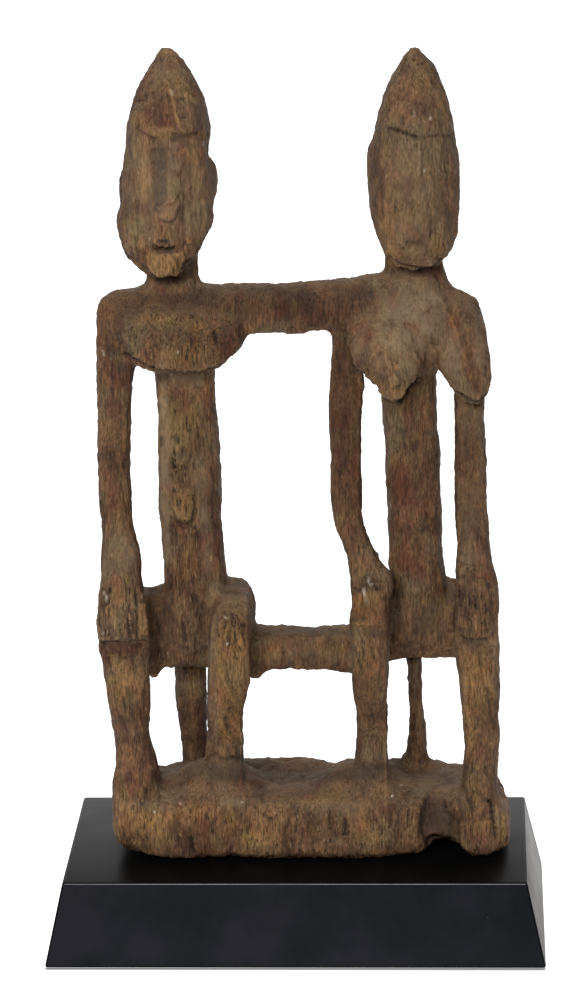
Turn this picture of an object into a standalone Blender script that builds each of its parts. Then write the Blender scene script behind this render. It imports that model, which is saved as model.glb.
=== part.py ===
"""Seated couple carved from one block of wood, standing on a black stand with leaning sides.

Metres, +Z up, +X to the viewer's right, the couple looks along -Y. The origin is the middle of the
stand's underside.
"""

import math

import bmesh
import bpy
import numpy as np
from mathutils import Euler, Matrix, Vector, noise

# The block of wood that the couple is carved from
COUPLE_HEIGHT = 0.4575
BLOCK_WIDTH = 0.224
BLOCK_DEPTH = 0.067
BLOCK_THICKNESS = 0.0372
MAN_SHARE = -0.321
WOMAN_SHARE = 0.272

# The stand: margins are from the block's sides to the stand's top edge
SIDE_MARGIN = 0.0168
FRONT_MARGIN = 0.0320
STAND_HEIGHT = 0.047
STAND_LEAN = 0.0112
STAND_EDGE = 0.0010
COUPLE_OFF_CENTRE = 0.0080
REST_GAP = 0.0003

# The carving is drawn in units, of which this many make the couple's height
DRAWING_HEIGHT = 457.5
UNIT = COUPLE_HEIGHT / DRAWING_HEIGHT

# How finely the shells are fused, softened and thinned
VOXEL = 1.5 * UNIT
SOFTEN_STEPS = 4
COUPLE_TRIANGLES = 8800
RING_SIDES = 28
ROW_STEP = 4.0

# Where the couple's two upright axes stand, along X
MAN_X = MAN_SHARE * BLOCK_WIDTH / UNIT
WOMAN_X = WOMAN_SHARE * BLOCK_WIDTH / UNIT

WOOD = {"name": "weathered_wood", "colour": (0.16, 0.095, 0.05, 1.0), "roughness": 0.85}
BLACK = {"name": "black_lacquer", "colour": (0.012, 0.013, 0.015, 1.0), "roughness": 0.35}


def clear_scene():
    for old in list(bpy.data.objects):
        bpy.data.objects.remove(old)


def make_material(look):
    material = bpy.data.materials.new(look["name"])
    material.use_nodes = True
    shader = material.node_tree.nodes["Principled BSDF"]
    shader.inputs["Base Color"].default_value = look["colour"]
    shader.inputs["Roughness"].default_value = look["roughness"]
    shader.inputs["Metallic"].default_value = 0.0
    return material


def smooth_rows(stations):
    """Rows on a smooth curve through the stations, which are sorted by their first value."""
    table = np.array(stations, float)
    along = table[:, 0]
    slopes = np.gradient(table[:, 1:], along, axis=0)
    rows = []
    for k in range(len(along) - 1):
        span = along[k + 1] - along[k]
        count = max(1, math.ceil(abs(span) / ROW_STEP))
        for s in np.arange(count) / count:
            start, end = table[k, 1:], table[k + 1, 1:]
            blend = 3 * s * s - 2 * s**3
            ease_out = s**3 - 2 * s * s + s
            ease_in = s**3 - s * s
            values = start + blend * (end - start)
            values = values + span * (ease_out * slopes[k] + ease_in * slopes[k + 1])
            rows.append([along[k] + s * span, *values])
    rows.append(list(table[-1]))
    return rows


def loft(shells, stations, axis="Z", square=2.4, shift=0.0):
    """A closed tube of superellipse sections along one axis, in drawing units.

    A station is (place along the axis, centre 1, half size 1, centre 2, half size 2), where 1 and 2
    are the other two axes in X, Y, Z order. shift moves the tube along X.
    """
    order = {"Z": (1, 2, 0), "X": (0, 1, 2), "Y": (1, 0, 2)}[axis]
    rings = []
    for along, mid_1, half_1, mid_2, half_2 in smooth_rows(stations):
        ring = []
        for k in range(RING_SIDES):
            turn = 2 * math.pi * k / RING_SIDES
            cos, sin = math.cos(turn), math.sin(turn)
            one = mid_1 + max(half_1, 0.3) * math.copysign(abs(cos) ** (2 / square), cos)
            two = mid_2 + max(half_2, 0.3) * math.copysign(abs(sin) ** (2 / square), sin)
            values = (along, one, two)
            point = Vector([values[i] for i in order])
            point.x += shift
            ring.append(shells.verts.new(point * UNIT))
        rings.append(ring)
    faces = [shells.faces.new(rings[0]), shells.faces.new(rings[-1])]
    for low, high in zip(rings, rings[1:]):
        for k in range(RING_SIDES):
            after = (k + 1) % RING_SIDES
            faces.append(shells.faces.new((low[k], low[after], high[after], high[k])))
    bmesh.ops.recalc_face_normals(shells, faces=faces)


def lump(shells, centre, radii, turn=(0, 0, 0), shift=0.0):
    """An egg shape with the given half sizes, turned by degrees about X, Y and Z."""
    place = Matrix.Translation((Vector(centre) + Vector((shift, 0, 0))) * UNIT)
    spin = Euler([math.radians(a) for a in turn]).to_matrix().to_4x4()
    size = Matrix.Diagonal((*(Vector(radii) * UNIT), 1))
    bmesh.ops.create_icosphere(shells, subdivisions=3, radius=1, matrix=place @ spin @ size)


def block_shell(shells):
    """The slab under the feet, with a worn top and round ends."""
    half = BLOCK_WIDTH / UNIT / 2
    deep = BLOCK_DEPTH / UNIT / 2
    top = BLOCK_THICKNESS / UNIT
    mid, thick = top / 2, top / 2
    loft(
        shells,
        [
            (-half, 1, deep * 0.78, mid + 3, thick * 0.62),
            (-half + 3, 0, deep * 0.93, mid + 1.5, thick * 0.92),
            (-half + 12, 0, deep, mid, thick),
            (-half * 0.5, 0, deep, mid, thick),
            (0, 0, deep, mid, thick + 0.3),
            (half * 0.5, 0, deep, mid, thick),
            (half - 24, 0, deep * 0.97, mid - 0.5, thick - 1),
            (half - 7, 0, deep * 0.93, mid - 3, thick - 3.5),
            (half, 0, deep * 0.80, mid - 4.5, thick * 0.55),
        ],
        axis="X",
        square=6.0,
    )


def man_shells(shells):
    at = MAN_X
    head = [
        (332, -4, 5, -14, 5),
        (337, -4.8, 13, -11, 11),
        (343, -4.6, 19, -8, 15),
        (352, -4.2, 22.6, -5, 19),
        (361, -2.6, 24.8, -3, 21.5),
        (372, -1, 24.8, -1, 23),
        (384, -0.4, 24.4, 0, 24),
        (401, 0, 23.3, 0, 24.5),
        (418, 0.8, 22, 1, 23),
        (428, 0.9, 19.5, 1, 20),
        (437, 1, 16, 1, 16),
        (446, 1, 10.8, 1, 11),
        (453, 1.5, 5.8, 1, 6),
        (457.3, 2, 1.2, 1, 1.2),
    ]
    loft(shells, head, square=2.45, shift=at)
    # Ears and jaw
    loft(shells, [(370, -24, 2, 3, 3), (380, -25, 3.2, 3, 6), (391, -23, 1.5, 3, 3)], shift=at)
    loft(shells, [(374, 23, 2.5, 3, 3), (383, 23.4, 2.8, 3, 6), (392, 23, 3.2, 3, 5)], shift=at)
    lump(shells, (-25, 0, 361), (4.6, 9, 8), shift=at)
    lump(shells, (20.5, 0, 363), (3.6, 9, 6), shift=at)
    # Nose, lips and beard
    nose = [
        (364, 0, 6.5, -23, 3.5),
        (369, 0, 8.3, -23.5, 6),
        (388, -0.3, 7.6, -23, 4.8),
        (406, -1, 7, -22, 2.5),
    ]
    loft(shells, nose, square=1.9, shift=at)
    lump(shells, (-3, -23.5, 355), (7.5, 4.5, 4), shift=at)
    lump(shells, (-3.5, -17, 343), (11, 9, 10.5), (-14, 0, 0), shift=at)
    # Neck
    loft(shells, [(312, -0.2, 17, 1, 14), (322, -0.2, 15, 1, 13), (345, -0.2, 14.6, 1, 13)], shift=at)
    # Chest, a shelf that overhangs the belly
    chest = [
        (279.5, 5, 14, -8, 12),
        (281.5, 4.5, 22, -9, 14.5),
        (287, 5, 29, -9.5, 16),
        (295, 6.5, 33, -9.5, 16),
        (304, 2, 37, -8, 15.5),
        (314, -1, 37, -5, 14),
        (321, -1, 33, -2, 12),
        (325.5, 0, 24, 0, 9),
    ]
    loft(shells, chest, square=3.4, shift=at)
    # Belly, navel and the ridge below it
    belly = [
        (120, 9, 17.5, 3, 15),
        (160, 8.4, 17.3, 3, 15),
        (192, 6.8, 17.3, 2, 14.5),
        (213, 6.8, 17, 1.5, 14),
        (243, 7, 16.6, 1.5, 13.5),
        (259, 6.3, 16.1, 1, 13.5),
        (290, 5.3, 16.8, 0, 13.5),
    ]
    loft(shells, belly, square=3.4, shift=at)
    lump(shells, (4.4, -11.5, 201), (8, 5, 12), shift=at)
    lump(shells, (7, -10, 148), (7.5, 4.5, 34), shift=at)
    # Hips
    hips = [
        (-22, 9, 13, 123, 21),
        (-8, 9, 16, 126.5, 24.5),
        (10, 9, 18, 128.5, 25.5),
        (26, 9, 18, 128, 24.5),
        (34, 8, 15, 128, 22),
        (39, 6, 10, 128, 13),
    ]
    loft(shells, hips, axis="X", square=3.2, shift=at)


def man_limb_shells(shells):
    at = MAN_X
    # Right arm, from the shoulder to the hand on the knee
    arm = [
        (128, -30.2, 14.3, -27, 8),
        (133, -30.2, 14.4, -27, 8.5),
        (148, -30.2, 13.4, -26, 8.5),
        (157, -30.5, 12.4, -25, 9),
        (166, -30.7, 11.5, -24, 9.5),
        (176, -30.8, 11.2, -22, 9.5),
        (185, -31.3, 9.9, -20, 9),
        (193, -32.5, 8.8, -18.5, 8.8),
        (219, -33.8, 8.8, -15, 9),
        (247, -33, 9, -11, 9.5),
        (277, -32.2, 9.6, -7, 10.5),
        (300, -31.6, 9.9, -4, 11.5),
        (314, -30, 10.4, -2, 12),
        (320, -28, 8, -1, 9.5),
    ]
    loft(shells, arm, square=2.8, shift=at)
    lump(shells, (-22, -4, 292), (10, 8, 12), shift=at)
    # Thighs, running forward to the knees
    right_thigh = [(-26, -30, 12.5, 133, 12), (-16, -29.5, 13, 136, 13), (12, -25, 12, 134, 15)]
    loft(shells, right_thigh, axis="Y", shift=at)
    left_thigh = [(-26, 28.5, 10, 134, 11), (-18, 28.5, 11.5, 135, 14), (12, 28.5, 11.5, 134, 18)]
    loft(shells, left_thigh, axis="Y", shift=at)
    # Lower legs, down to worn feet
    right_leg = [
        (24, -26.5, 14, -19, 13),
        (42, -26, 13.5, -20, 13),
        (52, -25.5, 11.8, -21, 12),
        (60, -26.5, 10.4, -21.5, 11),
        (72, -27.7, 9.8, -22, 10.5),
        (88, -28.4, 11, -22, 10.5),
        (99, -29.2, 12, -22, 10.5),
        (114, -29.9, 13.2, -22.5, 10.5),
        (128, -30.4, 14, -22.5, 10.5),
        (138, -30.2, 13, -21, 10),
    ]
    loft(shells, right_leg, square=2.8, shift=at)
    left_leg = [
        (24, 23.5, 12.5, -16, 14),
        (42, 23.7, 11, -17, 13),
        (59, 23.9, 10.1, -18, 11.5),
        (77, 24.6, 10.2, -20, 10.5),
        (90, 26, 10.7, -21, 10.5),
        (103, 27.2, 11.4, -21.5, 11),
        (121, 28, 11.7, -22, 11.5),
        (136, 28.6, 11.2, -21, 11.5),
        (145, 29, 10, -18, 11),
        (151, 29.5, 7.5, -13, 8),
    ]
    loft(shells, left_leg, square=3.0, shift=at)
    # Stool leg behind
    stool_leg = [
        (28, 4.6, 8.5, 19, 9),
        (42, 4.8, 7, 20, 7.5),
        (76, 4, 7.8, 20, 8),
        (112, 3.6, 9, 19, 9),
    ]
    loft(shells, stool_leg, square=3.0, shift=at)


def woman_shells(shells):
    at = WOMAN_X
    head = [
        (336, 2, 10, -13, 7),
        (341, 1.5, 15, -10, 12),
        (346, 1.7, 18.6, -8, 16),
        (352, 1.6, 21.5, -6, 19),
        (361, 0.6, 23.4, -4, 21.5),
        (376, 0.2, 24.4, -2, 23.5),
        (388, 0.2, 24, -1, 24),
        (400, 0, 23.3, 0, 24),
        (408, 0.7, 21.8, 0, 23.5),
        (418, 1, 20.1, 1, 22),
        (427, 1.4, 18, 1, 19),
        (437, 1.8, 14.3, 1, 15),
        (447, 2.2, 9.2, 1, 10),
        (453, 1.3, 5, 1, 5.5),
        (456.2, 1.2, 1.8, 1, 2),
    ]
    loft(shells, head, square=2.3, shift=at)
    loft(shells, [(372, -22, 2.5, 3, 3), (386, -22.6, 2.8, 3, 5), (400, -21.5, 3.6, 3, 4)], shift=at)
    loft(shells, [(374, 22, 2.5, 3, 3), (386, 22, 2.7, 3, 5), (399, 21.4, 2.5, 3, 3)], shift=at)
    # Nose and lips, worn almost flat
    nose = [
        (372, 1, 6, -23.5, 4),
        (377, 1, 6.4, -23.5, 4.5),
        (392, 1.2, 4.6, -23, 3.4),
        (407, 1.5, 3.5, -21.5, 2),
    ]
    loft(shells, nose, shift=at)
    lump(shells, (0.5, -22, 355), (6.5, 4, 4.5), shift=at)
    # Neck
    neck = [(312, 1, 20, 0, 15), (322, 0.6, 18, 0, 14), (332, -0.2, 16.6, 1, 13.5), (348, -0.4, 15.5, 1, 13)]
    loft(shells, neck, shift=at)
    # Upper chest and the two hanging breasts
    chest = [
        (278, -2, 16, -2, 13),
        (288, 0, 30, -5, 14.5),
        (298, 1, 36, -6, 15.5),
        (308, 1, 36, -5, 15),
        (317, 0, 33, -3, 13),
        (323, 1, 27, -1, 11),
        (327.5, 2, 17, 0, 8),
    ]
    loft(shells, chest, square=2.5, shift=at)
    right_breast = [
        (264.5, -11.5, 2, -27, 2),
        (267, -12, 4.4, -26.5, 4),
        (273, -12, 8.2, -24.5, 6.5),
        (283, -12.5, 15.5, -20, 11),
        (292, -15, 19.5, -16, 13),
        (303, -16, 19, -12, 13),
        (315, -14, 14, -6, 9),
    ]
    loft(shells, right_breast, square=2.2, shift=at)
    left_breast = [
        (262.5, 33.5, 2.5, -25.5, 2.5),
        (268, 31, 8.8, -23, 6),
        (277, 28, 12.8, -20, 9.5),
        (288, 26.5, 14, -17, 12),
        (299, 25, 14, -13, 13),
        (310, 21.5, 14.5, -9, 13),
        (320, 18, 12, -5, 10),
    ]
    loft(shells, left_breast, square=2.3, shift=at)
    lump(shells, (25, 1, 306), (12, 10, 17), shift=at)
    # Belly and hips
    belly = [
        (120, 1, 16, 3, 14.5),
        (156, 0.4, 15.4, 3, 14.5),
        (187, -1.3, 14.9, 2, 14),
        (212, -1.7, 15, 1.5, 13.5),
        (242, -2.5, 15.1, 1, 13.5),
        (258, -3.7, 14.9, 1, 13.5),
        (290, -4, 16.5, 0, 13),
    ]
    loft(shells, belly, square=3.4, shift=at)
    lump(shells, (-0.5, -10.5, 196), (6.5, 3.5, 9), shift=at)
    hips = [
        (-26, 9, 13, 133, 17),
        (-18, 9, 16, 132, 23),
        (0, 9, 18, 131.5, 24.5),
        (16, 9, 18, 130, 22.5),
        (30, 9, 15, 129, 19),
    ]
    loft(shells, hips, axis="X", square=3.2, shift=at)


def woman_limb_shells(shells):
    at = WOMAN_X
    right_arm = [
        (139, -26.4, 11, -26.5, 7.5),
        (149, -25.6, 10.6, -25.5, 8.5),
        (157, -25.6, 10.4, -25, 8.5),
        (168, -27.4, 9.5, -23, 8.5),
        (175, -29.5, 8.6, -21.5, 8.5),
        (184, -32.8, 8.1, -20, 8.3),
        (191, -36.3, 7.9, -19, 8),
        (202, -38.1, 7.7, -17, 8),
        (218, -38.5, 8.4, -14.5, 8.5),
        (246, -38.5, 8.4, -11, 9),
        (262, -38.3, 9.1, -9, 9.5),
        (275, -37.6, 9, -7, 10),
        (296, -36, 9.3, -3, 11),
        (310, -33, 10, -1, 12),
    ]
    loft(shells, right_arm, square=2.6, shift=at)
    left_arm = [
        (127, 33, 12.2, -27, 8),
        (137, 32.6, 11.9, -26.5, 8.5),
        (148, 32.8, 12.1, -26, 8.5),
        (159, 32.6, 11.4, -25, 9),
        (167, 32, 10.6, -24, 9),
        (176, 31.8, 9.3, -22.5, 8.8),
        (185, 31.7, 8.6, -21, 8.5),
        (198, 30.7, 8.6, -18, 8.5),
        (218, 30.2, 8.7, -15, 8.8),
        (246, 30, 8.4, -11, 9),
        (262, 29.4, 8.5, -9, 9.5),
        (285, 29.5, 9.5, -5, 10.5),
        (305, 28, 10, -2, 11),
        (318, 24, 9, 0, 10),
    ]
    loft(shells, left_arm, square=2.6, shift=at)
    right_thigh = [(-26, -26.5, 10, 134, 11), (-16, -26, 11, 137, 13), (12, -20, 10, 136, 15)]
    loft(shells, right_thigh, axis="Y", shift=at)
    left_thigh = [(-26, 32.5, 11, 133, 11), (-16, 32, 12, 137, 13), (12, 25, 11, 135, 15)]
    loft(shells, left_thigh, axis="Y", shift=at)
    right_leg = [
        (24, -26, 11.5, -16, 14),
        (42, -26, 9.6, -17, 13),
        (59, -26, 8.6, -18, 11),
        (77, -26, 8.8, -20, 10),
        (94, -26.2, 9.4, -21, 10),
        (107, -26.5, 10.2, -22, 10.5),
        (121, -26.6, 11, -22.5, 10.5),
        (139, -26.5, 11, -22, 10),
    ]
    loft(shells, right_leg, square=2.8, shift=at)
    left_leg = [
        (20, 36.5, 11.5, -20, 13),
        (36, 36, 11, -20, 13),
        (44, 35.6, 10.8, -20.5, 12.5),
        (52, 35.3, 10.1, -21, 11.5),
        (60, 35.5, 9.5, -21.5, 10.5),
        (73, 35.4, 10, -22, 10),
        (95, 34.3, 10.9, -22, 10),
        (115, 33.3, 12.1, -22.5, 10.5),
        (127, 33.1, 12.1, -22.5, 10.5),
        (138, 33, 11.5, -21.5, 10),
    ]
    loft(shells, left_leg, square=2.8, shift=at)
    stool_leg = [
        (28, -2.5, 11, 19, 10),
        (38, -2.5, 8.5, 20, 8),
        (46, -1.6, 5.6, 20, 6),
        (53, -1, 4.9, 20, 5.2),
        (70, -1.4, 4.2, 20, 5),
        (84, -2.3, 4.2, 20, 5),
        (101, -2.5, 4.8, 20, 5.5),
        (114, -2.5, 6, 19, 7),
    ]
    loft(shells, stool_leg, square=2.6, shift=at)


def joining_shells(shells):
    """The arm round the woman's shoulders, the seat that both sit on, and the feet's front lumps."""
    span = WOMAN_X - MAN_X

    def along(share):
        return MAN_X + share * span

    shoulder_arm = [
        (along(-0.26), -1, 12, 311, 12),
        (along(0.12), -2, 13, 312, 14.5),
        (along(0.30), -2, 13, 312.2, 14),
        (along(0.45), -1, 12.5, 312, 14),
        (along(0.57), -1, 12.5, 312.8, 14.6),
        (along(0.70), -1, 12.5, 313.5, 14.8),
        (along(0.85), -1, 13, 315.5, 15),
        (along(0.97), -1, 12, 318, 12),
    ]
    loft(shells, shoulder_arm, axis="X", square=3.0)
    seat = [
        (along(-0.15), 7, 12, 108.5, 11),
        (along(-0.09), 7, 14, 111, 10),
        (along(0.16), 7, 15, 113, 10.5),
        (along(0.32), 7, 14, 110.5, 14.5),
        (along(0.39), 7, 13.5, 112.5, 12.8),
        (along(0.55), 7, 13.5, 112.2, 12.6),
        (along(0.66), 7, 13.5, 112.5, 13),
        (along(0.74), 7, 13.5, 112, 13.8),
        (along(0.90), 7, 14.5, 116, 10),
        (along(1.10), 7, 14, 116, 9.5),
        (along(1.22), 7, 11, 116.5, 9),
    ]
    loft(shells, seat, axis="X", square=3.2)


def fused_mesh(shells):
    """Fuses the overlapping shells into one skin and softens the hollows where they meet."""
    rough = bpy.data.meshes.new("couple_shells")
    shells.to_mesh(rough)
    shells.free()
    helper = bpy.data.objects.new("couple_shells", rough)
    bpy.context.scene.collection.objects.link(helper)
    remesh = helper.modifiers.new("fuse", "REMESH")
    remesh.mode = "VOXEL"
    remesh.voxel_size = VOXEL
    soften = helper.modifiers.new("soften", "SMOOTH")
    soften.factor = 0.5
    soften.iterations = SOFTEN_STEPS
    graph = bpy.context.evaluated_depsgraph_get()
    skin = bpy.data.meshes.new_from_object(helper.evaluated_get(graph))
    bpy.data.objects.remove(helper)
    return skin


def brow_height(x, corner, middle):
    """The hairline's height over the face: lowest near the middle, rising to both temples."""
    return middle + (corner - middle) * np.clip(np.abs(x) / 18, 0, 1) ** 1.5


def carve(skin):
    """Cuts what lies into the surface: hairlines, mouths, hand ends, the hollow and wear of the block."""
    count = len(skin.vertices)
    places = np.empty(count * 3)
    normals = np.empty(count * 3)
    skin.vertices.foreach_get("co", places)
    skin.vertices.foreach_get("normal", normals)
    places = places.reshape(-1, 3) / UNIT
    normals = normals.reshape(-1, 3)
    x, y, z = places.T
    front = np.clip(-normals[:, 1] * 2, 0, 1)
    inward = np.zeros(count)

    # The hair stands proud of the face below it
    for middle_x, low, high in ((MAN_X, 411.5, 416.0), (WOMAN_X + 1, 411.0, 415.5)):
        below = brow_height(x - middle_x, high, low) - z
        on_face = (np.abs(x - middle_x) < 30) & (below > 0) & (z > 340)
        inward += on_face * front * 1.7 * np.exp(-np.clip(below, 0, 99) / 26) * np.clip(below / 1.5, 0, 1)

    # Mouth slits
    for mouth_x, mouth_z, half in ((MAN_X - 2.8, 351.5, 6.5), (WOMAN_X, 352.5, 5.5)):
        near = np.exp(-(((z - mouth_z) / 1.5) ** 2)) * np.clip(1.2 - np.abs(x - mouth_x) / half, 0, 1)
        inward += 1.8 * near * front

    # Below each hand the leg is set back
    for hand_x, end_z in ((MAN_X - 30.2, 127.5), (WOMAN_X - 26.4, 138.5), (WOMAN_X + 33, 127.0)):
        below = end_z - z
        on_leg = (np.abs(x - hand_x) < 18) & (below > 0) & (z > 95)
        inward += on_leg * front * 1.5 * np.exp(-np.clip(below, 0, 99) / 10)

    # The hollow in the block's front, left of the woman's left foot, and its smaller cracks
    right_end = BLOCK_WIDTH / UNIT / 2
    hollow = np.exp(-(((x - (right_end - 38)) / 7.5) ** 2)) * np.clip((44 - z) / 12, 0, 1)
    inward += 5.5 * hollow * front
    places = places - normals * inward[:, None]

    # Slow unevenness of hand carving
    for k, point in enumerate(places):
        wave = noise.noise(Vector(point) * 0.045) + 0.5 * noise.noise(Vector(point) * 0.12)
        places[k] = point + normals[k] * wave * 0.9

    # The underside is flat where it bears, and lifts at the left end and over the hollow
    x, y, z = places.T
    lift = 4.0 * np.clip((-x - right_end + 34) / 34, 0, 1) ** 1.5
    lift += 8.5 * np.exp(-(((x - (right_end - 36)) / 11) ** 4)) * np.clip((-y - 5) / 20, 0, 1)
    share = np.clip(1 - z / 14, 0, 1)
    places[:, 2] = np.where(z < 1.2, 0, z) + lift * share
    skin.vertices.foreach_set("co", (places * UNIT).ravel())
    skin.update()


def make_couple():
    shells = bmesh.new()
    block_shell(shells)
    man_shells(shells)
    man_limb_shells(shells)
    woman_shells(shells)
    woman_limb_shells(shells)
    joining_shells(shells)
    skin = fused_mesh(shells)
    carve(skin)
    skin.name = "seated_couple"
    couple = bpy.data.objects.new("seated_couple", skin)
    bpy.context.scene.collection.objects.link(couple)
    couple.location = (COUPLE_OFF_CENTRE, 0, STAND_HEIGHT + REST_GAP)
    skin.materials.clear()
    skin.materials.append(make_material(WOOD))
    skin.calc_loop_triangles()
    thin = couple.modifiers.new("thin_out", "DECIMATE")
    thin.ratio = COUPLE_TRIANGLES / len(skin.loop_triangles)
    skin.shade_smooth()
    return couple


def make_stand():
    top_x = BLOCK_WIDTH / 2 + SIDE_MARGIN
    top_y = BLOCK_DEPTH / 2 + FRONT_MARGIN
    frame = bmesh.new()
    bmesh.ops.create_cube(frame, size=2)
    for corner in frame.verts:
        upper = corner.co.z > 0
        out = 0 if upper else STAND_LEAN
        corner.co.x = math.copysign(top_x + out, corner.co.x)
        corner.co.y = math.copysign(top_y + out, corner.co.y)
        corner.co.z = STAND_HEIGHT if upper else 0
    mesh = bpy.data.meshes.new("stand")
    frame.to_mesh(mesh)
    frame.free()
    stand = bpy.data.objects.new("stand", mesh)
    bpy.context.scene.collection.objects.link(stand)
    mesh.materials.append(make_material(BLACK))
    edge = stand.modifiers.new("edge", "BEVEL")
    edge.width = STAND_EDGE
    edge.segments = 3
    mesh.shade_smooth()
    mesh.set_sharp_from_angle(angle=math.radians(30))
    return stand


def main():
    clear_scene()
    make_stand()
    make_couple()


main()
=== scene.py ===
import math
import bmesh
import bpy
import numpy as np
from mathutils import Matrix, Vector


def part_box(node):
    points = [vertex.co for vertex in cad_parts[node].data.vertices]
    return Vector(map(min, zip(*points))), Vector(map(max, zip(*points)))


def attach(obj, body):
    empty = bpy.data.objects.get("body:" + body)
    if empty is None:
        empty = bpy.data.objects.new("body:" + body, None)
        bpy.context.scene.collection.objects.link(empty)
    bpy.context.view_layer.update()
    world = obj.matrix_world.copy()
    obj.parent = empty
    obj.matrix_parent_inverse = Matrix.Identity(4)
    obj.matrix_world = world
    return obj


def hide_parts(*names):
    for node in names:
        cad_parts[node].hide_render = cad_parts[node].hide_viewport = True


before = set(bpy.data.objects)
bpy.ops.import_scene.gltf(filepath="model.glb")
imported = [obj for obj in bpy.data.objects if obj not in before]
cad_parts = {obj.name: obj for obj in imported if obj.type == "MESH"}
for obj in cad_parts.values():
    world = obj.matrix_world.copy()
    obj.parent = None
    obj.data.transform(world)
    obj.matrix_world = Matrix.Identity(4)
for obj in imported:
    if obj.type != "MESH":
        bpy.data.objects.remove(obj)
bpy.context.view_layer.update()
print("frame loaded:", sorted(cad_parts))

# Carving below is placed in millimetres: x and y from the middle, z above the stand's top
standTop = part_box("stand")[1].z
markPlane = -20.0

# The camera stands about 2.2 m from the couple, above it and a little to the right, as in the photograph
cameraLook = {"place": (0.1044, -2.1244, 0.8994), "down": 17.0, "turn": 2.83, "tilt": -1.09, "lens": 144.0}


def smoothStep(low, high, values):
    t = np.clip((values - low) / (high - low), 0, 1)
    return t * t * (3 - 2 * t)


def readMesh(mesh, what="co"):
    flat = np.empty(len(mesh.vertices) * 3)
    mesh.vertices.foreach_get(what, flat)
    return flat.reshape(-1, 3)


def toMm(places):
    out = places * 1000.0
    out[:, 2] -= standTop * 1000.0
    return out


def fromMm(places):
    out = places.copy()
    out[:, 2] += standTop * 1000.0
    return out / 1000.0


def writeMesh(mesh, places):
    mesh.vertices.foreach_set("co", places.ravel())
    mesh.update()


def storeMask(mesh, name, values):
    layer = mesh.attributes.get(name) or mesh.attributes.new(name, "FLOAT", "POINT")
    layer.data.foreach_set("value", np.clip(values, 0, 1).astype(np.float32))


def newObject(name, mesh):
    thing = bpy.data.objects.new(name, mesh)
    bpy.context.scene.collection.objects.link(thing)
    return thing


def settledMesh(thing, name):
    graph = bpy.context.evaluated_depsgraph_get()
    mesh = bpy.data.meshes.new_from_object(thing.evaluated_get(graph))
    mesh.name = name
    return mesh


# Small helpers for building node trees

def addNode(tree, kind, **settings):
    node = tree.nodes.new(kind)
    for key, value in settings.items():
        setattr(node, key, value)
    return node


def plug(tree, value, socket):
    if isinstance(value, (int, float, tuple)):
        socket.default_value = value
    else:
        tree.links.new(value, socket)


def calc(tree, operation, *values):
    node = addNode(tree, "ShaderNodeMath", operation=operation)
    for slot, value in enumerate(values):
        plug(tree, value, node.inputs[slot])
    return node.outputs[0]


def ramped(tree, value, low, high, outLow=0.0, outHigh=1.0):
    node = addNode(tree, "ShaderNodeMapRange", interpolation_type="SMOOTHSTEP")
    plug(tree, value, node.inputs["Value"])
    plug(tree, low, node.inputs["From Min"])
    plug(tree, high, node.inputs["From Max"])
    plug(tree, outLow, node.inputs["To Min"])
    plug(tree, outHigh, node.inputs["To Max"])
    return node.outputs["Result"]


def stretched(tree, place, stretch, shift=(0.0, 0.0, 0.0)):
    node = addNode(tree, "ShaderNodeVectorMath", operation="MULTIPLY_ADD")
    plug(tree, place, node.inputs[0])
    plug(tree, stretch, node.inputs[1])
    plug(tree, shift, node.inputs[2])
    return node.outputs[0]


def grainy(tree, place, scale, detail=2.0, rough=0.5):
    node = addNode(tree, "ShaderNodeTexNoise")
    plug(tree, place, node.inputs["Vector"])
    plug(tree, scale, node.inputs["Scale"])
    plug(tree, detail, node.inputs["Detail"])
    plug(tree, rough, node.inputs["Roughness"])
    return node.outputs[0]


def mixColour(tree, share, first, second, blend="MIX"):
    node = addNode(tree, "ShaderNodeMix", data_type="RGBA", blend_type=blend)
    plug(tree, share, node.inputs[0])
    plug(tree, first, node.inputs[6])
    plug(tree, second, node.inputs[7])
    return node.outputs[2]


def srgb(red, green, blue):
    values = [v / 255 for v in (red, green, blue)]
    return tuple(v / 12.92 if v <= 0.04045 else ((v + 0.055) / 1.055) ** 2.4 for v in values) + (1.0,)


# The wood's grain, shared by the carved surface and its colour
grainLook = {
    "wander": 0.007,
    "wanderScale": 45.0,
    "fibreStretch": (1.0, 1.0, 0.13),
    "fibreScale": 300.0,
    "checkStretch": (1.0, 1.0, 0.11),
    "checkScale": 400.0,
    "checkFrom": 0.63,
    "checkTo": 0.70,
    "patchScale": 34.0,
}


def grainFields(tree, place):
    look = grainLook
    drift = addNode(tree, "ShaderNodeTexNoise")
    plug(tree, stretched(tree, place, (1.0, 1.0, 0.5)), drift.inputs["Vector"])
    drift.inputs["Scale"].default_value = look["wanderScale"]
    drift.inputs["Detail"].default_value = 2.0
    shift = addNode(tree, "ShaderNodeVectorMath", operation="SUBTRACT")
    plug(tree, drift.outputs["Color"], shift.inputs[0])
    plug(tree, (0.5, 0.5, 0.5), shift.inputs[1])
    bent = addNode(tree, "ShaderNodeVectorMath", operation="MULTIPLY_ADD")
    plug(tree, shift.outputs[0], bent.inputs[0])
    plug(tree, (look["wander"],) * 3, bent.inputs[1])
    plug(tree, place, bent.inputs[2])
    bent = bent.outputs[0]
    fibres = grainy(tree, stretched(tree, bent, look["fibreStretch"]), look["fibreScale"], 3.0, 0.6)
    along = stretched(tree, bent, look["checkStretch"], (0.31, 0.12, 0.05))
    checkNoise = grainy(tree, along, look["checkScale"], 2.0, 0.55)
    patches = grainy(tree, stretched(tree, place, (1.0, 1.0, 0.6), (0.7, 0.2, 0.4)), look["patchScale"], 3.0)
    checks = ramped(tree, checkNoise, look["checkFrom"], look["checkTo"])
    checks = calc(tree, "MULTIPLY", checks, ramped(tree, patches, 0.40, 0.58, 0.2, 1.0))
    return bent, fibres, checks, patches


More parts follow.
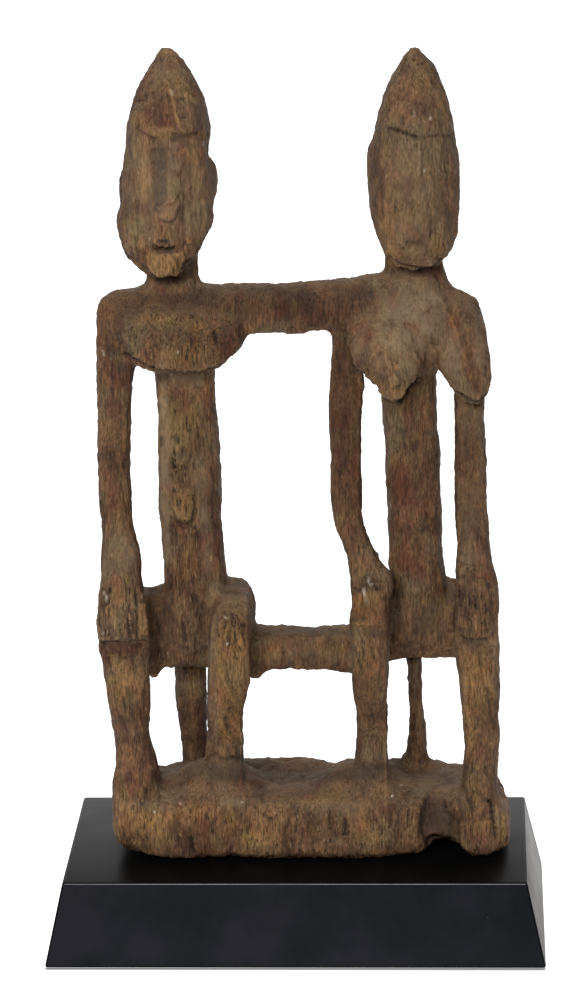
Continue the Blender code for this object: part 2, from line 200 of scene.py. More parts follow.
# The couple: a finer copy of the solid, then hand carving, then weather

coupleLook = {
    "triangles": 192000,
    "voxel": 0.00105,
    "soften": 3,
    "rearShare": 0.35,
    "fibreDepth": 0.00075,
    "checkDepth": 0.0011,
    "endGrainDepth": 0.0008,
    "pitDepth": 0.0008,
    "lumpDepth": 0.0007,
    "nickDepth": 0.0005,
}

# Marks are placed as seen by the camera, on a plane 20 mm before the middle: points (x, z), in millimetres.
# Lines cut by the carver or opened by age, some also painted dark as the shadow under the chest, jaws, chins
# and breasts: points, half width, depth, darkness from 0 to 1
cutLines = [
    # man's hairline, ticks and cap grooves
    ([(-78.8, 417), (-74.5, 414), (-70.3, 411)], 0.9, 1.5, 0.6),
    ([(-70.3, 411), (-64.9, 412.3), (-59.5, 413.3)], 1, 1, 0.2),
    ([(-53.6, 411.9), (-49.8, 413.2), (-45.5, 414.1)], 0.9, 1.4, 0.6),
    ([(-78.8, 432.2), (-74, 432.7)], 0.6, 1, 0.6),
    ([(-78.5, 427.3), (-74.1, 427.9)], 0.6, 1, 0.55),
    ([(-56.8, 432.3), (-52.5, 433.1)], 0.6, 1, 0.65),
    ([(-56.4, 427.7), (-52.7, 428.4)], 0.5, 0.9, 0.5),
    ([(-55.5, 422.5), (-51.7, 423.3)], 0.6, 0.9, 0.6),
    ([(-73.1, 434.7), (-73.9, 418.3)], 0.8, 0.9, 0.35),
    ([(-69.1, 436.3), (-69.5, 419.4)], 0.7, 0.9, 0.5),
    ([(-65.3, 437.8), (-65.5, 419.4)], 0.7, 0.9, 0.45),
    ([(-61.6, 436.2), (-60.4, 419.3)], 0.8, 1, 0.5),
    ([(-72, 428.1), (-72, 418.9)], 0.6, 0.8, 0.4),
    ([(-67.1, 430.3), (-67.2, 418.3)], 0.6, 0.8, 0.4),
    ([(-78.6, 421.7), (-79.1, 414)], 0.7, 0.7, 0.2),
    ([(-49.1, 440.9), (-46.6, 433.3)], 0.8, 0.6, 0.2),
    ([(-63.8, 454.1), (-65.6, 445.4)], 0.7, 0.7, 0.25),
    ([(-59.5, 452.9), (-57, 446.4)], 0.7, 0.7, 0.25),
    # man's nose, mouth and jaw, with painted shadow under the jaw
    ([(-71, 405.2), (-71.7, 388.8), (-71.9, 374.4)], 1, 0.8, 0.12),
    ([(-52.8, 401.8), (-52.9, 388.6), (-53.9, 378.7)], 1, 0.7, 0.1),
    ([(-71.9, 373.9), (-68.8, 371.1), (-67.2, 367.2),
      (-63, 365.5), (-59.6, 368.3), (-58.4, 373.2)], 0.9, 1.4, 0.3),
    ([(-61.6, 375.5), (-56.6, 379.8)], 0.8, 0.9, 0.35),
    ([(-72, 352.9), (-69.3, 351.4), (-65, 350.9), (-60.6, 350.8)], 1, 2.2, 0.85),
    ([(-68.1, 354.7), (-64.3, 354.8)], 1, 1.6, 0.8),
    ([(-84.5, 351.8), (-83.8, 348)], 0.8, 1.2, 0.7),
    ([(-80.8, 349.6), (-80.1, 345.1)], 0.8, 1.2, 0.7),
    ([(-86.3, 346.9), (-82.5, 344.6), (-78.8, 342.3), (-76.7, 340.1)], 1, 1.4, 0.6),
    ([(-77, 349), (-76.6, 341.8), (-71.9, 336.2)], 0.8, 1, 0.3),
    ([(-56, 341.6), (-52.2, 343.3), (-48.3, 345.5)], 1.2, 2.2, 0.85),
    ([(-58.8, 337.7), (-56.6, 341.1)], 0.9, 1.4, 0.6),
    ([(-54.6, 372.6), (-53.9, 358.3), (-54.7, 349.9)], 0.9, 0.8, 0.15),
    ([(-50.2, 399.6), (-50, 362.1)], 0.9, 0.8, 0.15),
    ([(-74.5, 397), (-74.6, 375)], 0.9, 0.7, 0.12),
    ([(-80.5, 377.8), (-80.6, 355.7)], 0.8, 0.7, 0.15),
    ([(-69, 362.3), (-68.6, 356.7)], 0.7, 0.6, 0.2),
    ([(-60.1, 348.9), (-59.8, 341.1)], 0.7, 0.7, 0.25),
    ([(-65.6, 348.9), (-65.6, 340)], 0.7, 0.6, 0.2),
    ([(-48.2, 369.8), (-47.3, 365.4)], 0.8, 1, 0.4),
    # woman's hairline, ticks, mouth and chin, with painted shadow under the chin
    ([(56.4, 416.1), (63.9, 413.8), (71.3, 410.8)], 1, 2, 0.9),
    ([(75.1, 411), (81, 412), (91.7, 411.4)], 1.1, 1.1, 0.3),
    ([(55.5, 429.7), (55.9, 421.5)], 0.7, 0.8, 0.35),
    ([(64, 422), (64.5, 418.2)], 0.9, 0.9, 0.6),
    ([(61.4, 431.8), (63.8, 431.2)], 0.7, 0.8, 0.4),
    ([(70.4, 429), (73.3, 428.6)], 0.8, 1, 0.55),
    ([(71.2, 450), (74.4, 450.5)], 0.8, 1.1, 0.75),
    ([(79.6, 440.8), (81.7, 437)], 0.8, 0.9, 0.5),
    ([(84.3, 432.6), (85.9, 429.4)], 0.8, 0.9, 0.4),
    ([(66, 352.9), (70.3, 352.6), (74.6, 352.3)], 1.1, 1.2, 0.45),
    ([(54.6, 345.8), (57.2, 343.3), (62.1, 340.7),
      (67.5, 338.7), (72.8, 337.9), (79.3, 339.2), (83.7, 343.9)], 0.9, 0.8, 0.75),
    ([(74.6, 347.8), (75, 342.9)], 0.7, 0.9, 0.35),
    ([(78.3, 348.4), (78.8, 341.7)], 0.8, 1, 0.45),
    ([(81.6, 349.5), (82.1, 343.9)], 0.8, 1, 0.5),
    ([(61.6, 351.3), (62.1, 344.6)], 0.7, 0.8, 0.25),
    ([(48.8, 405.8), (49.7, 390.5), (51.6, 368.5)], 1, 0.8, 0.15),
    ([(58.6, 373.9), (59.6, 364.5)], 0.7, 0.7, 0.25),
    ([(82.9, 382), (83.9, 376.5)], 0.7, 0.8, 0.35),
    ([(68.5, 394.1), (68.2, 388.7)], 0.7, 0.6, 0.2),
    ([(87.3, 403.8), (87.7, 381.9)], 0.8, 0.6, 0.15),
    # man's chest, its undercut painted dark as the chest's shadow, and the body
    ([(-89, 292), (-80.9, 288), (-74.5, 284.5), (-70.1, 282.8),
      (-64.1, 283.1), (-58.1, 281.8), (-48.3, 281.6), (-41.6, 283.8)], 1.1, 2.6, 0.85),
    ([(-40.1, 303.7), (-39.3, 297.6)], 0.9, 2, 1),
    ([(-69.1, 300.9), (-69.1, 293)], 0.6, 0.7, 0.3),
    ([(-59.9, 297.4), (-59.9, 287.3)], 0.6, 0.7, 0.3),
    ([(-52.6, 305.2), (-52.5, 294)], 0.6, 0.7, 0.25),
    ([(-46.1, 302.4), (-46.3, 292.8)], 0.6, 0.7, 0.35),
    ([(-77.8, 302.6), (-78.6, 293)], 0.6, 0.6, 0.2),
    ([(-101.4, 316.8), (-102, 297.1)], 0.8, 0.7, 0.15),
    ([(-98.5, 305.6), (-99.5, 288.6)], 0.7, 0.9, 0.35),
    ([(-96, 297.1), (-96.1, 283)], 0.7, 0.9, 0.4),
    ([(-101, 277.3), (-101.2, 254.6)], 0.7, 0.7, 0.25),
    ([(-64.7, 231.8), (-64.1, 226.9)], 0.9, 1.6, 1),
    ([(-64, 244.7), (-61.6, 242.4)], 1, 1.2, 0.65),
    ([(-72.3, 245.3), (-72.1, 239.6)], 1, 1.6, 0.8),
    ([(-66.6, 210.3), (-66.3, 201.3), (-63.7, 196.4),
      (-58.2, 194), (-53.7, 196.9), (-52.7, 205.6), (-53.3, 211.3)], 1, 1.4, 0.3),
    ([(-61.8, 209.1), (-61.6, 202.7)], 0.9, 1.2, 0.5),
    ([(-57.9, 207), (-57.8, 200.4)], 0.8, 0.9, 0.35),
    ([(-66.4, 197), (-64, 185.4), (-62.1, 173.7), (-62.9, 162.1)], 1.4, 1.4, 0.25),
    ([(-47.6, 195.4), (-50.7, 185.3), (-51, 170.8), (-50.7, 162)], 1.4, 1.2, 0.2),
    ([(-42.4, 241.7), (-42.4, 208.4), (-42.6, 176.6)], 0.9, 0.7, 0.2),
    ([(-61.7, 135.7), (-60.5, 126.9)], 1.2, 1.7, 0.85),
    ([(-57.6, 132.8), (-57.4, 126.9)], 0.7, 0.9, 0.4),
    ([(-49.6, 248.6), (-50.5, 237.2)], 0.7, 0.7, 0.3),
    ([(-67.2, 268.6), (-67.9, 251.6)], 0.7, 0.6, 0.15),
    # man's right hand and shin
    ([(-107.5, 125.2), (-99.7, 125.5), (-94.1, 126.7), (-92.3, 128.1)], 0.9, 2.2, 0.55),
    ([(-92.4, 126.7), (-80.6, 126.3)], 0.9, 1.6, 0.5),
    ([(-104.9, 158.1), (-104.5, 148.8)], 0.8, 1.5, 0.85),
    ([(-101.5, 157), (-103.2, 147.6)], 0.8, 1.5, 0.85),
    ([(-101.6, 136.4), (-101.3, 126.4)], 0.7, 1.1, 0.6),
    ([(-104.6, 138.8), (-104.8, 128.2)], 0.6, 0.9, 0.4),
    ([(-97.6, 148.2), (-97.5, 141.1)], 0.7, 1, 0.5),
    ([(-96.6, 136.4), (-96.5, 127.6)], 0.7, 1.2, 0.55),
    ([(-92.3, 139.9), (-91.2, 129.3)], 0.9, 1.6, 0.85),
    ([(-89.2, 138.1), (-89.2, 131.7)], 0.7, 1.1, 0.6),
    ([(-87, 155.7), (-87.1, 143.4), (-87.3, 128.7)], 0.8, 1.6, 0.6),
    ([(-94.1, 145.2), (-93.7, 139.9)], 0.7, 1, 0.5),
    ([(-80.5, 150.4), (-80.3, 131.6)], 0.8, 0.9, 0.35),
    ([(-84.4, 149.9), (-84.5, 135.2)], 0.6, 0.8, 0.25),
    ([(-97.8, 118.7), (-97.3, 113.4)], 0.7, 1.1, 0.65),
    ([(-89.4, 115.1), (-89, 108)], 0.7, 0.9, 0.4),
    ([(-103, 110.5), (-99.9, 101)], 0.7, 0.8, 0.3),
    ([(-93.3, 97.4), (-91.9, 87.8)], 0.8, 0.9, 0.35),
    ([(-97.7, 81.3), (-95.1, 73.5)], 0.8, 1.1, 0.6),
    ([(-86.7, 91.4), (-86.5, 78.3)], 0.7, 0.8, 0.3),
    # man's left knee and shin
    ([(-43.1, 129.8), (-42, 141.5), (-37.7, 147.4),
      (-29.3, 147.3), (-24, 138.5), (-23.6, 129.7)], 1, 1, 0.2),
    ([(-37.8, 143.8), (-37.4, 136.8)], 0.8, 1.4, 0.75),
    ([(-33.6, 143.2), (-33, 133.8)], 0.8, 1.4, 0.8),
    ([(-29.5, 140.3), (-28.2, 132.1)], 0.8, 1.3, 0.7),
    ([(-26.2, 136.2), (-25.9, 126.8)], 0.7, 1.1, 0.5),
    ([(-35.2, 132.7), (-35.4, 125.6)], 0.7, 1.2, 0.6),
    ([(-39.8, 130.3), (-39.8, 119.7)], 0.6, 0.9, 0.35),
    ([(-31.5, 126.8), (-32.3, 116.2)], 0.7, 1, 0.5),
    ([(-38, 110.3), (-37.3, 99.6)], 0.7, 1.2, 0.6),
    ([(-35.3, 103.2), (-35.2, 94.9)], 0.7, 1, 0.5),
    ([(-39.2, 80), (-38.1, 72.8)], 0.9, 1.4, 0.85),
    ([(-36.8, 90.1), (-36.4, 81.8)], 0.7, 1, 0.5),
    ([(-32.7, 97.2), (-30.7, 87.7)], 0.7, 0.9, 0.4),
    ([(-45, 120.9), (-46.8, 70.4)], 1, 0.8, 0.2),
    ([(-51.1, 55.5), (-48.2, 59.1), (-44.2, 59.1),
      (-40.4, 56.1), (-35.3, 57.2), (-30.2, 56.6)], 1.1, 1.5, 0.6),
    # woman's chest, with painted shadow under the breasts
    ([(31.7, 299.6), (35.4, 290), (39.7, 281.5), (44.5, 276.4)], 1.2, 1.8, 0.55),
    ([(60.2, 264.7), (63, 268.4), (65.7, 272.9), (71.2, 277.4)], 1.3, 2.4, 0.85),
    ([(52, 266.2), (56.4, 263.7), (60.8, 265.6)], 1, 2, 0.8),
    ([(85.2, 326.1), (88.4, 318.3), (91, 312.1), (93.7, 306.5),
      (95, 300), (97.7, 293), (100.4, 286), (101.7, 277.5), (102.2, 270.4)], 1.7, 1.6, 0.3),
    ([(92, 291.9), (95.3, 296.4)], 0.7, 0.8, 0.3),
    ([(94.7, 280.6), (97.9, 284)], 0.7, 0.8, 0.3),
    ([(90.8, 270.5), (96.8, 265.6), (103, 261.9), (107.1, 267)], 1.2, 2.2, 0.8),
    ([(74.7, 300.2), (76.8, 290.3), (80, 282.4)], 1.4, 1.2, 0.15),
    ([(54.1, 278.6), (55.5, 280.5), (58.2, 280.9), (60.4, 279.2),
      (60.9, 276.3), (59.2, 273.5), (56.5, 273), (54.6, 274.7), (54.1, 278.6)], 0.8, 0.9, 0.3),
    ([(45.4, 300.9), (43.4, 297.3)], 0.6, 0.8, 0.35),
    ([(56.6, 284.3), (58.8, 286.5)], 0.6, 0.6, 0.25),
    ([(61.5, 283.1), (63.6, 280.8)], 0.6, 0.7, 0.3),
    ([(49.1, 292.2), (50.7, 288.8)], 0.6, 0.6, 0.2),
    ([(78.4, 296.8), (78.7, 296.2)], 0.6, 1.4, 0.9),
    ([(53.3, 328.6), (56.5, 325.2)], 1.4, 0.8, 0.35),
    ([(87.9, 321.1), (86.7, 312.1)], 0.7, 0.8, 0.3),
    # woman's right hand and leg
    ([(35.3, 156.7), (38.2, 155.6)], 0.8, 1.6, 0.9),
    ([(40.9, 162.8), (45.8, 161.3)], 1.2, 1.4, 0.7),
    ([(44.7, 159.3), (47.4, 155.8)], 1, 1.4, 0.75),
    ([(39.1, 156.2), (40.7, 151.2), (42, 145.3)], 0.6, 1, 0.25),
    ([(32.8, 139.2), (37.2, 138.1), (40.6, 138.9)], 0.8, 1.4, 0.4),
    ([(40.7, 150), (42.2, 139.5)], 0.6, 0.9, 0.4),
    ([(51.7, 161.6), (52, 150), (51.6, 135.3)], 0.9, 1, 0.25),
    ([(32.9, 123.6), (35.5, 114.8), (38.2, 108.3)], 0.8, 1.3, 0.55),
    ([(37.6, 123), (39.7, 117.1), (41.3, 110.1)], 0.7, 1, 0.4),
    ([(34.9, 126.6), (37, 122.5)], 0.7, 1, 0.5),
    ([(42.1, 86.4), (44.8, 78)], 0.9, 1.1, 0.5),
    ([(48.1, 120.7), (48.4, 97)], 0.7, 0.7, 0.2),
    ([(37.5, 73.3), (37.6, 62.5)], 0.7, 0.9, 0.4),
    ([(33.9, 57.1), (40.6, 50.5), (49.6, 52.9), (54.1, 50.5), (57.3, 42.1)], 1.2, 1.2, 0.4),
    # woman's left hand and leg
    ([(93.4, 156.2), (93.3, 146.3)], 0.7, 1.2, 0.6),
    ([(101.1, 156.8), (101.1, 148.6)], 0.7, 1.3, 0.7),
    ([(98.4, 161.5), (103.9, 162.3)], 0.8, 1, 0.4),
    ([(101.4, 147.5), (102.2, 145.7)], 0.9, 1.6, 0.95),
    ([(95.5, 145.7), (96.3, 138.7)], 0.7, 1, 0.5),
    ([(106.7, 154.4), (107.2, 146.3)], 0.7, 1, 0.4),
    ([(103.8, 143.9), (104.4, 134.6)], 0.7, 0.9, 0.4),
    ([(98.3, 142.2), (98.6, 132.3)], 0.6, 0.9, 0.35),
    ([(90.4, 162.7), (89.8, 142.5), (91.6, 129.9)], 1, 1.3, 0.35),
    ([(109.2, 157.9), (109.9, 146.3), (109.1, 133.4)], 0.9, 0.9, 0.25),
    ([(91.3, 129.3), (96, 126.6), (101, 125.8), (108.8, 127.2)], 1.1, 1.1, 0.45),
    ([(90.7, 172), (98.4, 169.6), (107.3, 170.7)], 0.9, 0.9, 0.3),
    ([(91.9, 177.8), (96.3, 176)], 0.8, 0.9, 0.4),
    ([(97, 109.9), (97.5, 96.9)], 0.7, 0.9, 0.35),
    ([(103.7, 117.5), (104.8, 102.8)], 0.7, 0.8, 0.3),
    ([(109.2, 96.9), (109.7, 82)], 0.8, 0.9, 0.35),
    ([(100.3, 88), (100.7, 73.1)], 0.7, 0.9, 0.35),
    ([(97.8, 49.2), (103.4, 47.4), (106.8, 49.2)], 1, 0.9, 0.35),
    # block
    ([(-60.2, 7.8), (-59.4, 3.5), (-58.7, -1.4)], 1.2, 2.4, 0.95),
    ([(-18.5, 22.3), (-14.6, 19.3)], 0.9, 1.5, 0.9),
    ([(19.9, 19.8), (19.1, 9.5)], 0.8, 1.4, 0.6),
    ([(27.4, 19.2), (27.7, 10.1)], 0.8, 1.5, 0.7),
    ([(90.7, 19.2), (91.4, 3.4)], 0.9, 1.8, 0.8),
    ([(109.5, 29.4), (111.2, 19.1), (112.3, 9.5)], 1.1, 2.4, 0.95),
    ([(96.6, 31.8), (97.7, 24.6)], 0.7, 1, 0.45),
    ([(85.6, 22.8), (85.3, 15.5)], 0.7, 1.2, 0.55),
    ([(92, 18.9), (107.8, 19.2)], 0.7, 0.8, 0.3),
    ([(97.8, 36.3), (103.4, 34.2), (108.4, 29.4)], 0.8, 1.1, 0.45),
    ([(-84.3, 38.1), (-85.4, 32)], 0.8, 1.2, 0.65),
    ([(-77.5, 38.1), (-77.2, 30.8)], 0.7, 1.1, 0.55),
    ([(-72.4, 18.1), (-72.3, 8.4)], 0.7, 1.1, 0.45),
    ([(-49.4, 8.4), (-49.4, -0.2)], 0.7, 1.1, 0.5),
    ([(-32.3, 13.2), (-32.8, 3.5)], 0.7, 1.1, 0.45),
    ([(-42.2, 24.1), (-41.9, 15.6)], 0.7, 1, 0.45),
    ([(-6.8, 15.6), (-6.8, 3.5)], 0.7, 1, 0.4),
    ([(-0.4, 21.7), (-0.4, 12)], 0.7, 1.1, 0.5),
    ([(9, 9.5), (9.2, 1)], 0.7, 1, 0.4),
    ([(42.5, 20.4), (42.7, 9.5)], 0.7, 1.1, 0.45),
    ([(53.2, 27.7), (52.5, 15.6)], 0.7, 1.1, 0.45),
    ([(62.9, 31.3), (63, 15.6)], 0.7, 1.1, 0.45),
    ([(-66.2, 18.1), (-66, 10.8)], 0.6, 0.9, 0.35),
    ([(-91.5, 24.2), (-91.7, 10.8)], 0.6, 0.9, 0.3),
    ([(-98, 14.5), (-97.7, 6)], 0.7, 1, 0.4),
    ([(115.1, 24), (115.6, 8.3)], 0.7, 1, 0.4),
    ([(83.1, 31.2), (84.2, 21.6)], 0.7, 1, 0.45),
    ([(-17.5, 126.7), (-17.4, 114.9)], 0.7, 1, 0.4),
    ([(-5.9, 123.8), (-5.8, 113.7)], 0.7, 1.1, 0.5),
    ([(3.7, 126.7), (4, 113.7)], 0.6, 0.9, 0.35),
    ([(17.5, 121.9), (17.6, 112.5)], 0.7, 1, 0.4),
    ([(-20.8, 130.3), (-1.9, 129), (31.6, 131.9)], 1, 0.9, 0.3),
]

rearLines = [
    # behind the front legs: the slit under the seat, painted dark as its shadow, and the rear posts
    ([(-70.4, 113), (-63.7, 112.1), (-49.7, 111.3)], 1, 2.6, 1),
    ([(63.4, 115.9), (71.7, 116.2)], 0.9, 2, 0.85),
    ([(70.9, 114.7), (69.7, 102.9)], 0.6, 0.7, 0.35),
    ([(72.9, 88.1), (73.2, 61.3)], 0.6, 0.7, 0.35),
    ([(-58.5, 97.3), (-58.7, 67.5)], 0.7, 0.7, 0.25),
]

# Raised edges: points, half width, height
raisedLines = [
    ([(-63, 442.7), (-59.9, 437.3), (-58.5, 431.8), (-57.6, 424.2), (-53, 416)], 1, 0.8),
    ([(-45.5, 110.3), (-45.4, 129.2), (-43.4, 141.5), (-39.3, 148.5),
      (-34.3, 150.9), (-28.7, 149.1), (-24.4, 143.2), (-23, 131.5)], 1.5, 0.9),
    ([(-71.9, 353.7), (-69.8, 352.8), (-63.3, 352.5)], 0.8, 0.9),
    ([(-61, 377.7), (-59.3, 373.8)], 0.9, 0.9),
    ([(71.9, 408.9), (72.3, 399), (71.4, 390.3)], 1.4, 1.2),
    ([(56.4, 417.4), (63.9, 415.2), (71.4, 412.3)], 1, 0.8),
    ([(-52, 220.5), (-45.6, 213), (-47.6, 198), (-54.4, 189.4)], 1.5, 0.9),
    ([(-83.2, 152.2), (-83.2, 134)], 2.2, 1),
    ([(49.4, 270.7), (56.4, 267.3), (61.3, 269.5)], 2, 1.2),
    ([(-86.3, 293.1), (-75.5, 287.9), (-67.3, 285.8), (-56.4, 284.6), (-45.4, 285.1)], 2, 0.8),
    ([(-76.3, 315.5), (-66.5, 314.3), (-55.6, 314.8), (-45.3, 314.2)], 2.4, 0.8),
    ([(93.2, 129.9), (101, 128.1), (107.7, 129.9)], 1.4, 0.4),
    ([(33.9, 297.9), (37.1, 290.6), (41, 282.7), (45.1, 277)], 0.8, 0.7),
    ([(39.7, 157), (41, 151.2), (42, 144.2)], 0.6, 0.8),
    ([(91.2, 160.3), (96.2, 161.5), (103.9, 162), (108.9, 159.7)], 1.2, 0.8),
    ([(108.3, 158.5), (109.4, 146.8), (108.2, 133.4)], 1, 0.7),
    ([(-105.8, 128.2), (-99.6, 128.4), (-94.5, 129.9)], 1.3, 0.8),
    ([(33.4, 141.8), (38.4, 140.7)], 1.2, 0.8),
    ([(83.5, 323.3), (86.7, 316), (89.4, 309.9), (92.1, 303.7), (93.1, 297.5)], 1.1, 0.9),
]

# Stepped forms: outline (x, z), how far it stands proud, softness of its edge, tone, strength of the tone;
# the soot and handling tones paint shade in the mouth, under the jaw and chin, under the hands and in the
# block's notch
steps = [
    # man's forehead panel, crest, brow, nose, mouth and chin
    ([(-75.5, 417.3), (-73.9, 428.2), (-71.2, 435.2), (-66.8, 440), (-63.3, 443), (-61, 438.9),
      (-59.2, 433.4), (-58.4, 425.3), (-58.3, 417.7), (-66.4, 418),
      (-71.8, 417.2)], -0.8, 0.45, "reddish", 0.55),
    ([(-57.3, 434), (-52, 432.8), (-50.6, 425.8), (-51.3, 417.6), (-54.6, 416),
      (-56.6, 422.5)], -0.7, 0.6, "sootAndShade", 0.35),
    ([(-73.4, 416.7), (-66.4, 417.4), (-60.5, 417.1), (-59.4, 415.5), (-61.7, 411.7), (-67.6, 411.5),
      (-71.9, 413.4)], 0.5, 0.7, "golden", 0.55),
    ([(-60, 414.4), (-53.6, 414.3), (-54.7, 410.2), (-59.6, 410)], -1.6, 0.4, "sootAndShade", 1),
    ([(-71.3, 406.3), (-63.2, 406.8), (-63.9, 379.9), (-66, 374.4),
      (-71.4, 373.9)], -0.8, 0.5, "sootAndShade", 1),
    ([(-62.7, 410.1), (-55.8, 410), (-55.8, 379.3), (-57.8, 376.5),
      (-63.6, 376.6)], 0.5, 1.1, "dusty", 0.5),
    ([(-63.8, 443.8), (-62.2, 443.8), (-58.7, 434), (-57.1, 424.2), (-54.1, 415.4), (-55.9, 415.2),
      (-58.7, 424.2), (-60.3, 433.5)], 0.7, 0.35, "golden", 0.7),
    ([(-70.3, 374.4), (-65.9, 377.2), (-61, 378.2), (-57, 377.1), (-57.9, 371), (-60.7, 367.2),
      (-64.6, 365.8), (-68.3, 368.3)], 1.6, 0.7, "reddish", 0.65),
    ([(-73.9, 361.7), (-70.1, 363.4), (-62.5, 363.3), (-58.2, 361.1), (-58.9, 356.3),
      (-73.5, 356.2)], 0.9, 0.8, "", 0),
    ([(-69.2, 355.4), (-65.9, 355.9), (-62.1, 355.2), (-62.2, 352.8),
      (-68.2, 352.6)], -1.8, 0.35, "sootAndShade", 1),
    ([(-72.5, 352.5), (-68.2, 352.1), (-61.2, 351.3), (-61.7, 350.2), (-69.3, 350.8),
      (-72, 351.3)], 1, 0.3, "golden", 0.8),
    ([(-71.5, 350.6), (-61.2, 350), (-61.8, 348), (-69.4, 348.4)], -1.6, 0.35, "sootAndShade", 1),
    ([(-76.5, 347.3), (-72.6, 349.3), (-69.4, 347.8), (-61.8, 347.8), (-55.2, 350), (-54.3, 345.5),
      (-56.6, 341.1), (-58.8, 336.6), (-63.2, 335), (-69.2, 335.6), (-74, 339)], 1.7, 0.5, "golden", 1),
    ([(-56, 341.1), (-52.2, 343.3), (-47.8, 345.5), (-47.3, 342.1), (-52.2, 339.9),
      (-56.1, 337.7)], -1.6, 0.5, "sootAndShade", 1),
    ([(-71.4, 334.3), (-63.3, 333.9), (-57.8, 336.1), (-56.1, 337.9), (-47.9, 341), (-48, 335.4),
      (-56.3, 331.6), (-71, 330.6)], -1.6, 0.6, "sootAndShade", 0.9),
    # woman's cap, nose ridge and neck
    ([(50.6, 419.4), (57, 416.1), (63.9, 414.1), (71.3, 411.3), (75.1, 411.1), (83.7, 412.3),
      (95.4, 414.1), (99.9, 463.2), (46.8, 463.7)], 0.7, 0.3, "", 0),
    ([(71.6, 410.5), (73.7, 410.5), (73.7, 389.7), (71.2, 389.7)], 0.9, 0.4, "dusty", 0.5),
    # hands, knees and shins
    ([(-109.7, 127.4), (-95.7, 126.4), (-90.7, 126.8), (-88.5, 126), (-86.9, 150.5), (-86.9, 162.2),
      (-95.6, 166.3), (-105.2, 162.2), (-109, 150.5)], 0.7, 0.4, "open", 0.7),
    ([(-86.4, 146.9), (-83.3, 148.7), (-80.2, 143.4), (-80.3, 130.5),
      (-86.7, 129.3)], 0.9, 0.4, "golden", 0.8),
    ([(-107.5, 125.5), (-95.8, 125.6), (-90.7, 126), (-83.5, 125.2), (-84.2, 121), (-87, 118.1),
      (-94.4, 114.6), (-102.7, 118.1), (-106.6, 118.2)], -0.6, 0.5, "handledAndShade", 0.8),
    ([(-44.9, 103.2), (-45, 120.9), (-43, 132.7), (-40.1, 141.5), (-36, 146.2), (-30.5, 146.8),
      (-26.1, 142.6), (-24.6, 135.6), (-25.4, 97.2), (-27.7, 67.4), (-32.3, 64.4), (-41.3, 64.5),
      (-44.3, 79.4)], -1.5, 0.35, "golden", 0.6),
    ([(-43.2, 126.8), (-39.5, 140.9), (-35, 145), (-29.4, 145), (-25.6, 140.3), (-26, 120.9),
      (-30.2, 110.3), (-40.2, 110.3)], 0, 0.8, "open", 0.7),
    ([(-40.5, 97.2), (-31.5, 99.6), (-31.1, 68.6), (-39, 66.2)], 0, 0.8, "open", 0.55),
    ([(34.1, 154.1), (40.8, 155.9), (49.1, 158.7), (51.3, 150), (52.8, 135.3), (48.2, 130.1),
      (41.6, 130.1), (33.2, 131.3), (32.9, 147.1)], 0.7, 0.4, "golden", 0.3),
    ([(34.1, 153.5), (39.1, 154.7), (40.6, 143), (41.7, 138.9),
      (33.9, 139.5)], -0.7, 0.3, "reddish", 0.9),
    ([(91.2, 161.5), (98.4, 162.6), (109.4, 161.4), (113.3, 149.8), (113.2, 136.9), (109.3, 128.1),
      (98.2, 127.6), (91.6, 129.9)], 1, 0.4, "open", 0.5),
    ([(92.7, 134.6), (100.5, 133.4), (110.5, 134.6), (111, 128.1), (101.5, 126.4),
      (92.7, 128.2)], -0.2, 0.6, "handledAndShade", 0.6),
    ([(92.1, 127.8), (100.4, 127), (109.9, 127.5), (109.3, 123.4), (102.1, 120.5),
      (93.8, 123.5)], -0.5, 1.2, "sootAndShade", 0.7),
    # chest fronts
    ([(-86.8, 311.1), (-74.7, 314.9), (-52.9, 315.3), (-38.8, 311.9), (-31.1, 315.2), (-26.3, 310.7),
      (-27.1, 296.6), (-36.1, 287.1), (-50.5, 281.5), (-70.1, 282.8), (-83, 290.8),
      (-88.2, 299.9)], 0.7, 0.6, "open", 0.5),
    ([(88.4, 317.7), (92.7, 311), (95.9, 301.4), (100.2, 291.9), (104.4, 280.6), (104.4, 269.3),
      (99, 273.8), (95.2, 284), (91.5, 295.9), (87.2, 308.8)], -0.9, 0.35, "reddish", 1),
    ([(51.7, 280.9), (55, 284.3), (58.7, 282), (60.9, 277.5), (59.7, 269.6), (56.4, 267.3),
      (52.6, 270.7)], 0.9, 0.5, "", 0),
    # block
    ([(72.4, 33.7), (79.8, 35.5), (84.8, 31.2), (87.5, 18), (90.3, 5.9), (75, 3.4), (69.4, 8.3),
      (69.5, 22.2)], -1.6, 2.4, "sootAndShade", 0.9),
    ([(-105.6, 27.8), (-77.2, 30.8), (18.8, 24.1), (66.8, 27.6), (67.1, 5.9), (18.4, -5.1),
      (-72.4, -3.8), (-105.1, 6)], 0, 1.2, "open", 0.45),
    ([(93.2, 27.6), (110.1, 27.6), (116.3, 36), (119.6, 31.2), (119.6, 5.8), (114.5, -0.2),
      (103.2, -2.7), (93.6, 1)], 0, 1, "open", 0.5),
    ([(93.2, 27.6), (93, 37.2), (97.8, 39.6), (105.6, 37.2), (110.1, 31.8),
      (109.5, 27.6)], -0.5, 0.5, "", 0),
    ([(-51.1, 53.7), (19.2, 50.6), (50.1, 51.7), (49.5, 44.5), (2.2, 41.6),
      (-48.6, 43.4)], 0, 1.2, "sootAndShade", 0.75),
    # body
    ([(-64.6, 264.6), (-52.6, 263.4), (-47.7, 237.2), (-48.2, 196.9), (-53.2, 173.7), (-51.8, 138.6),
      (-64.1, 138.7), (-66.5, 173.8), (-67.8, 208.5), (-64.8, 237.3)], 0, 1, "open", 0.6),
    ([(-64.9, 212), (-59.9, 215.4), (-53.8, 214.2), (-53, 203.8), (-56.4, 197.5), (-61.4, 198.1),
      (-65.1, 203.9)], 0.8, 0.5, "golden", 0.5),
    ([(-70.3, 277.1), (-66.5, 277.1), (-66.8, 225.8), (-67.6, 173.8), (-71, 170.3),
      (-72.2, 208.6)], 0, 0.5, "dusty", 0.9),
]

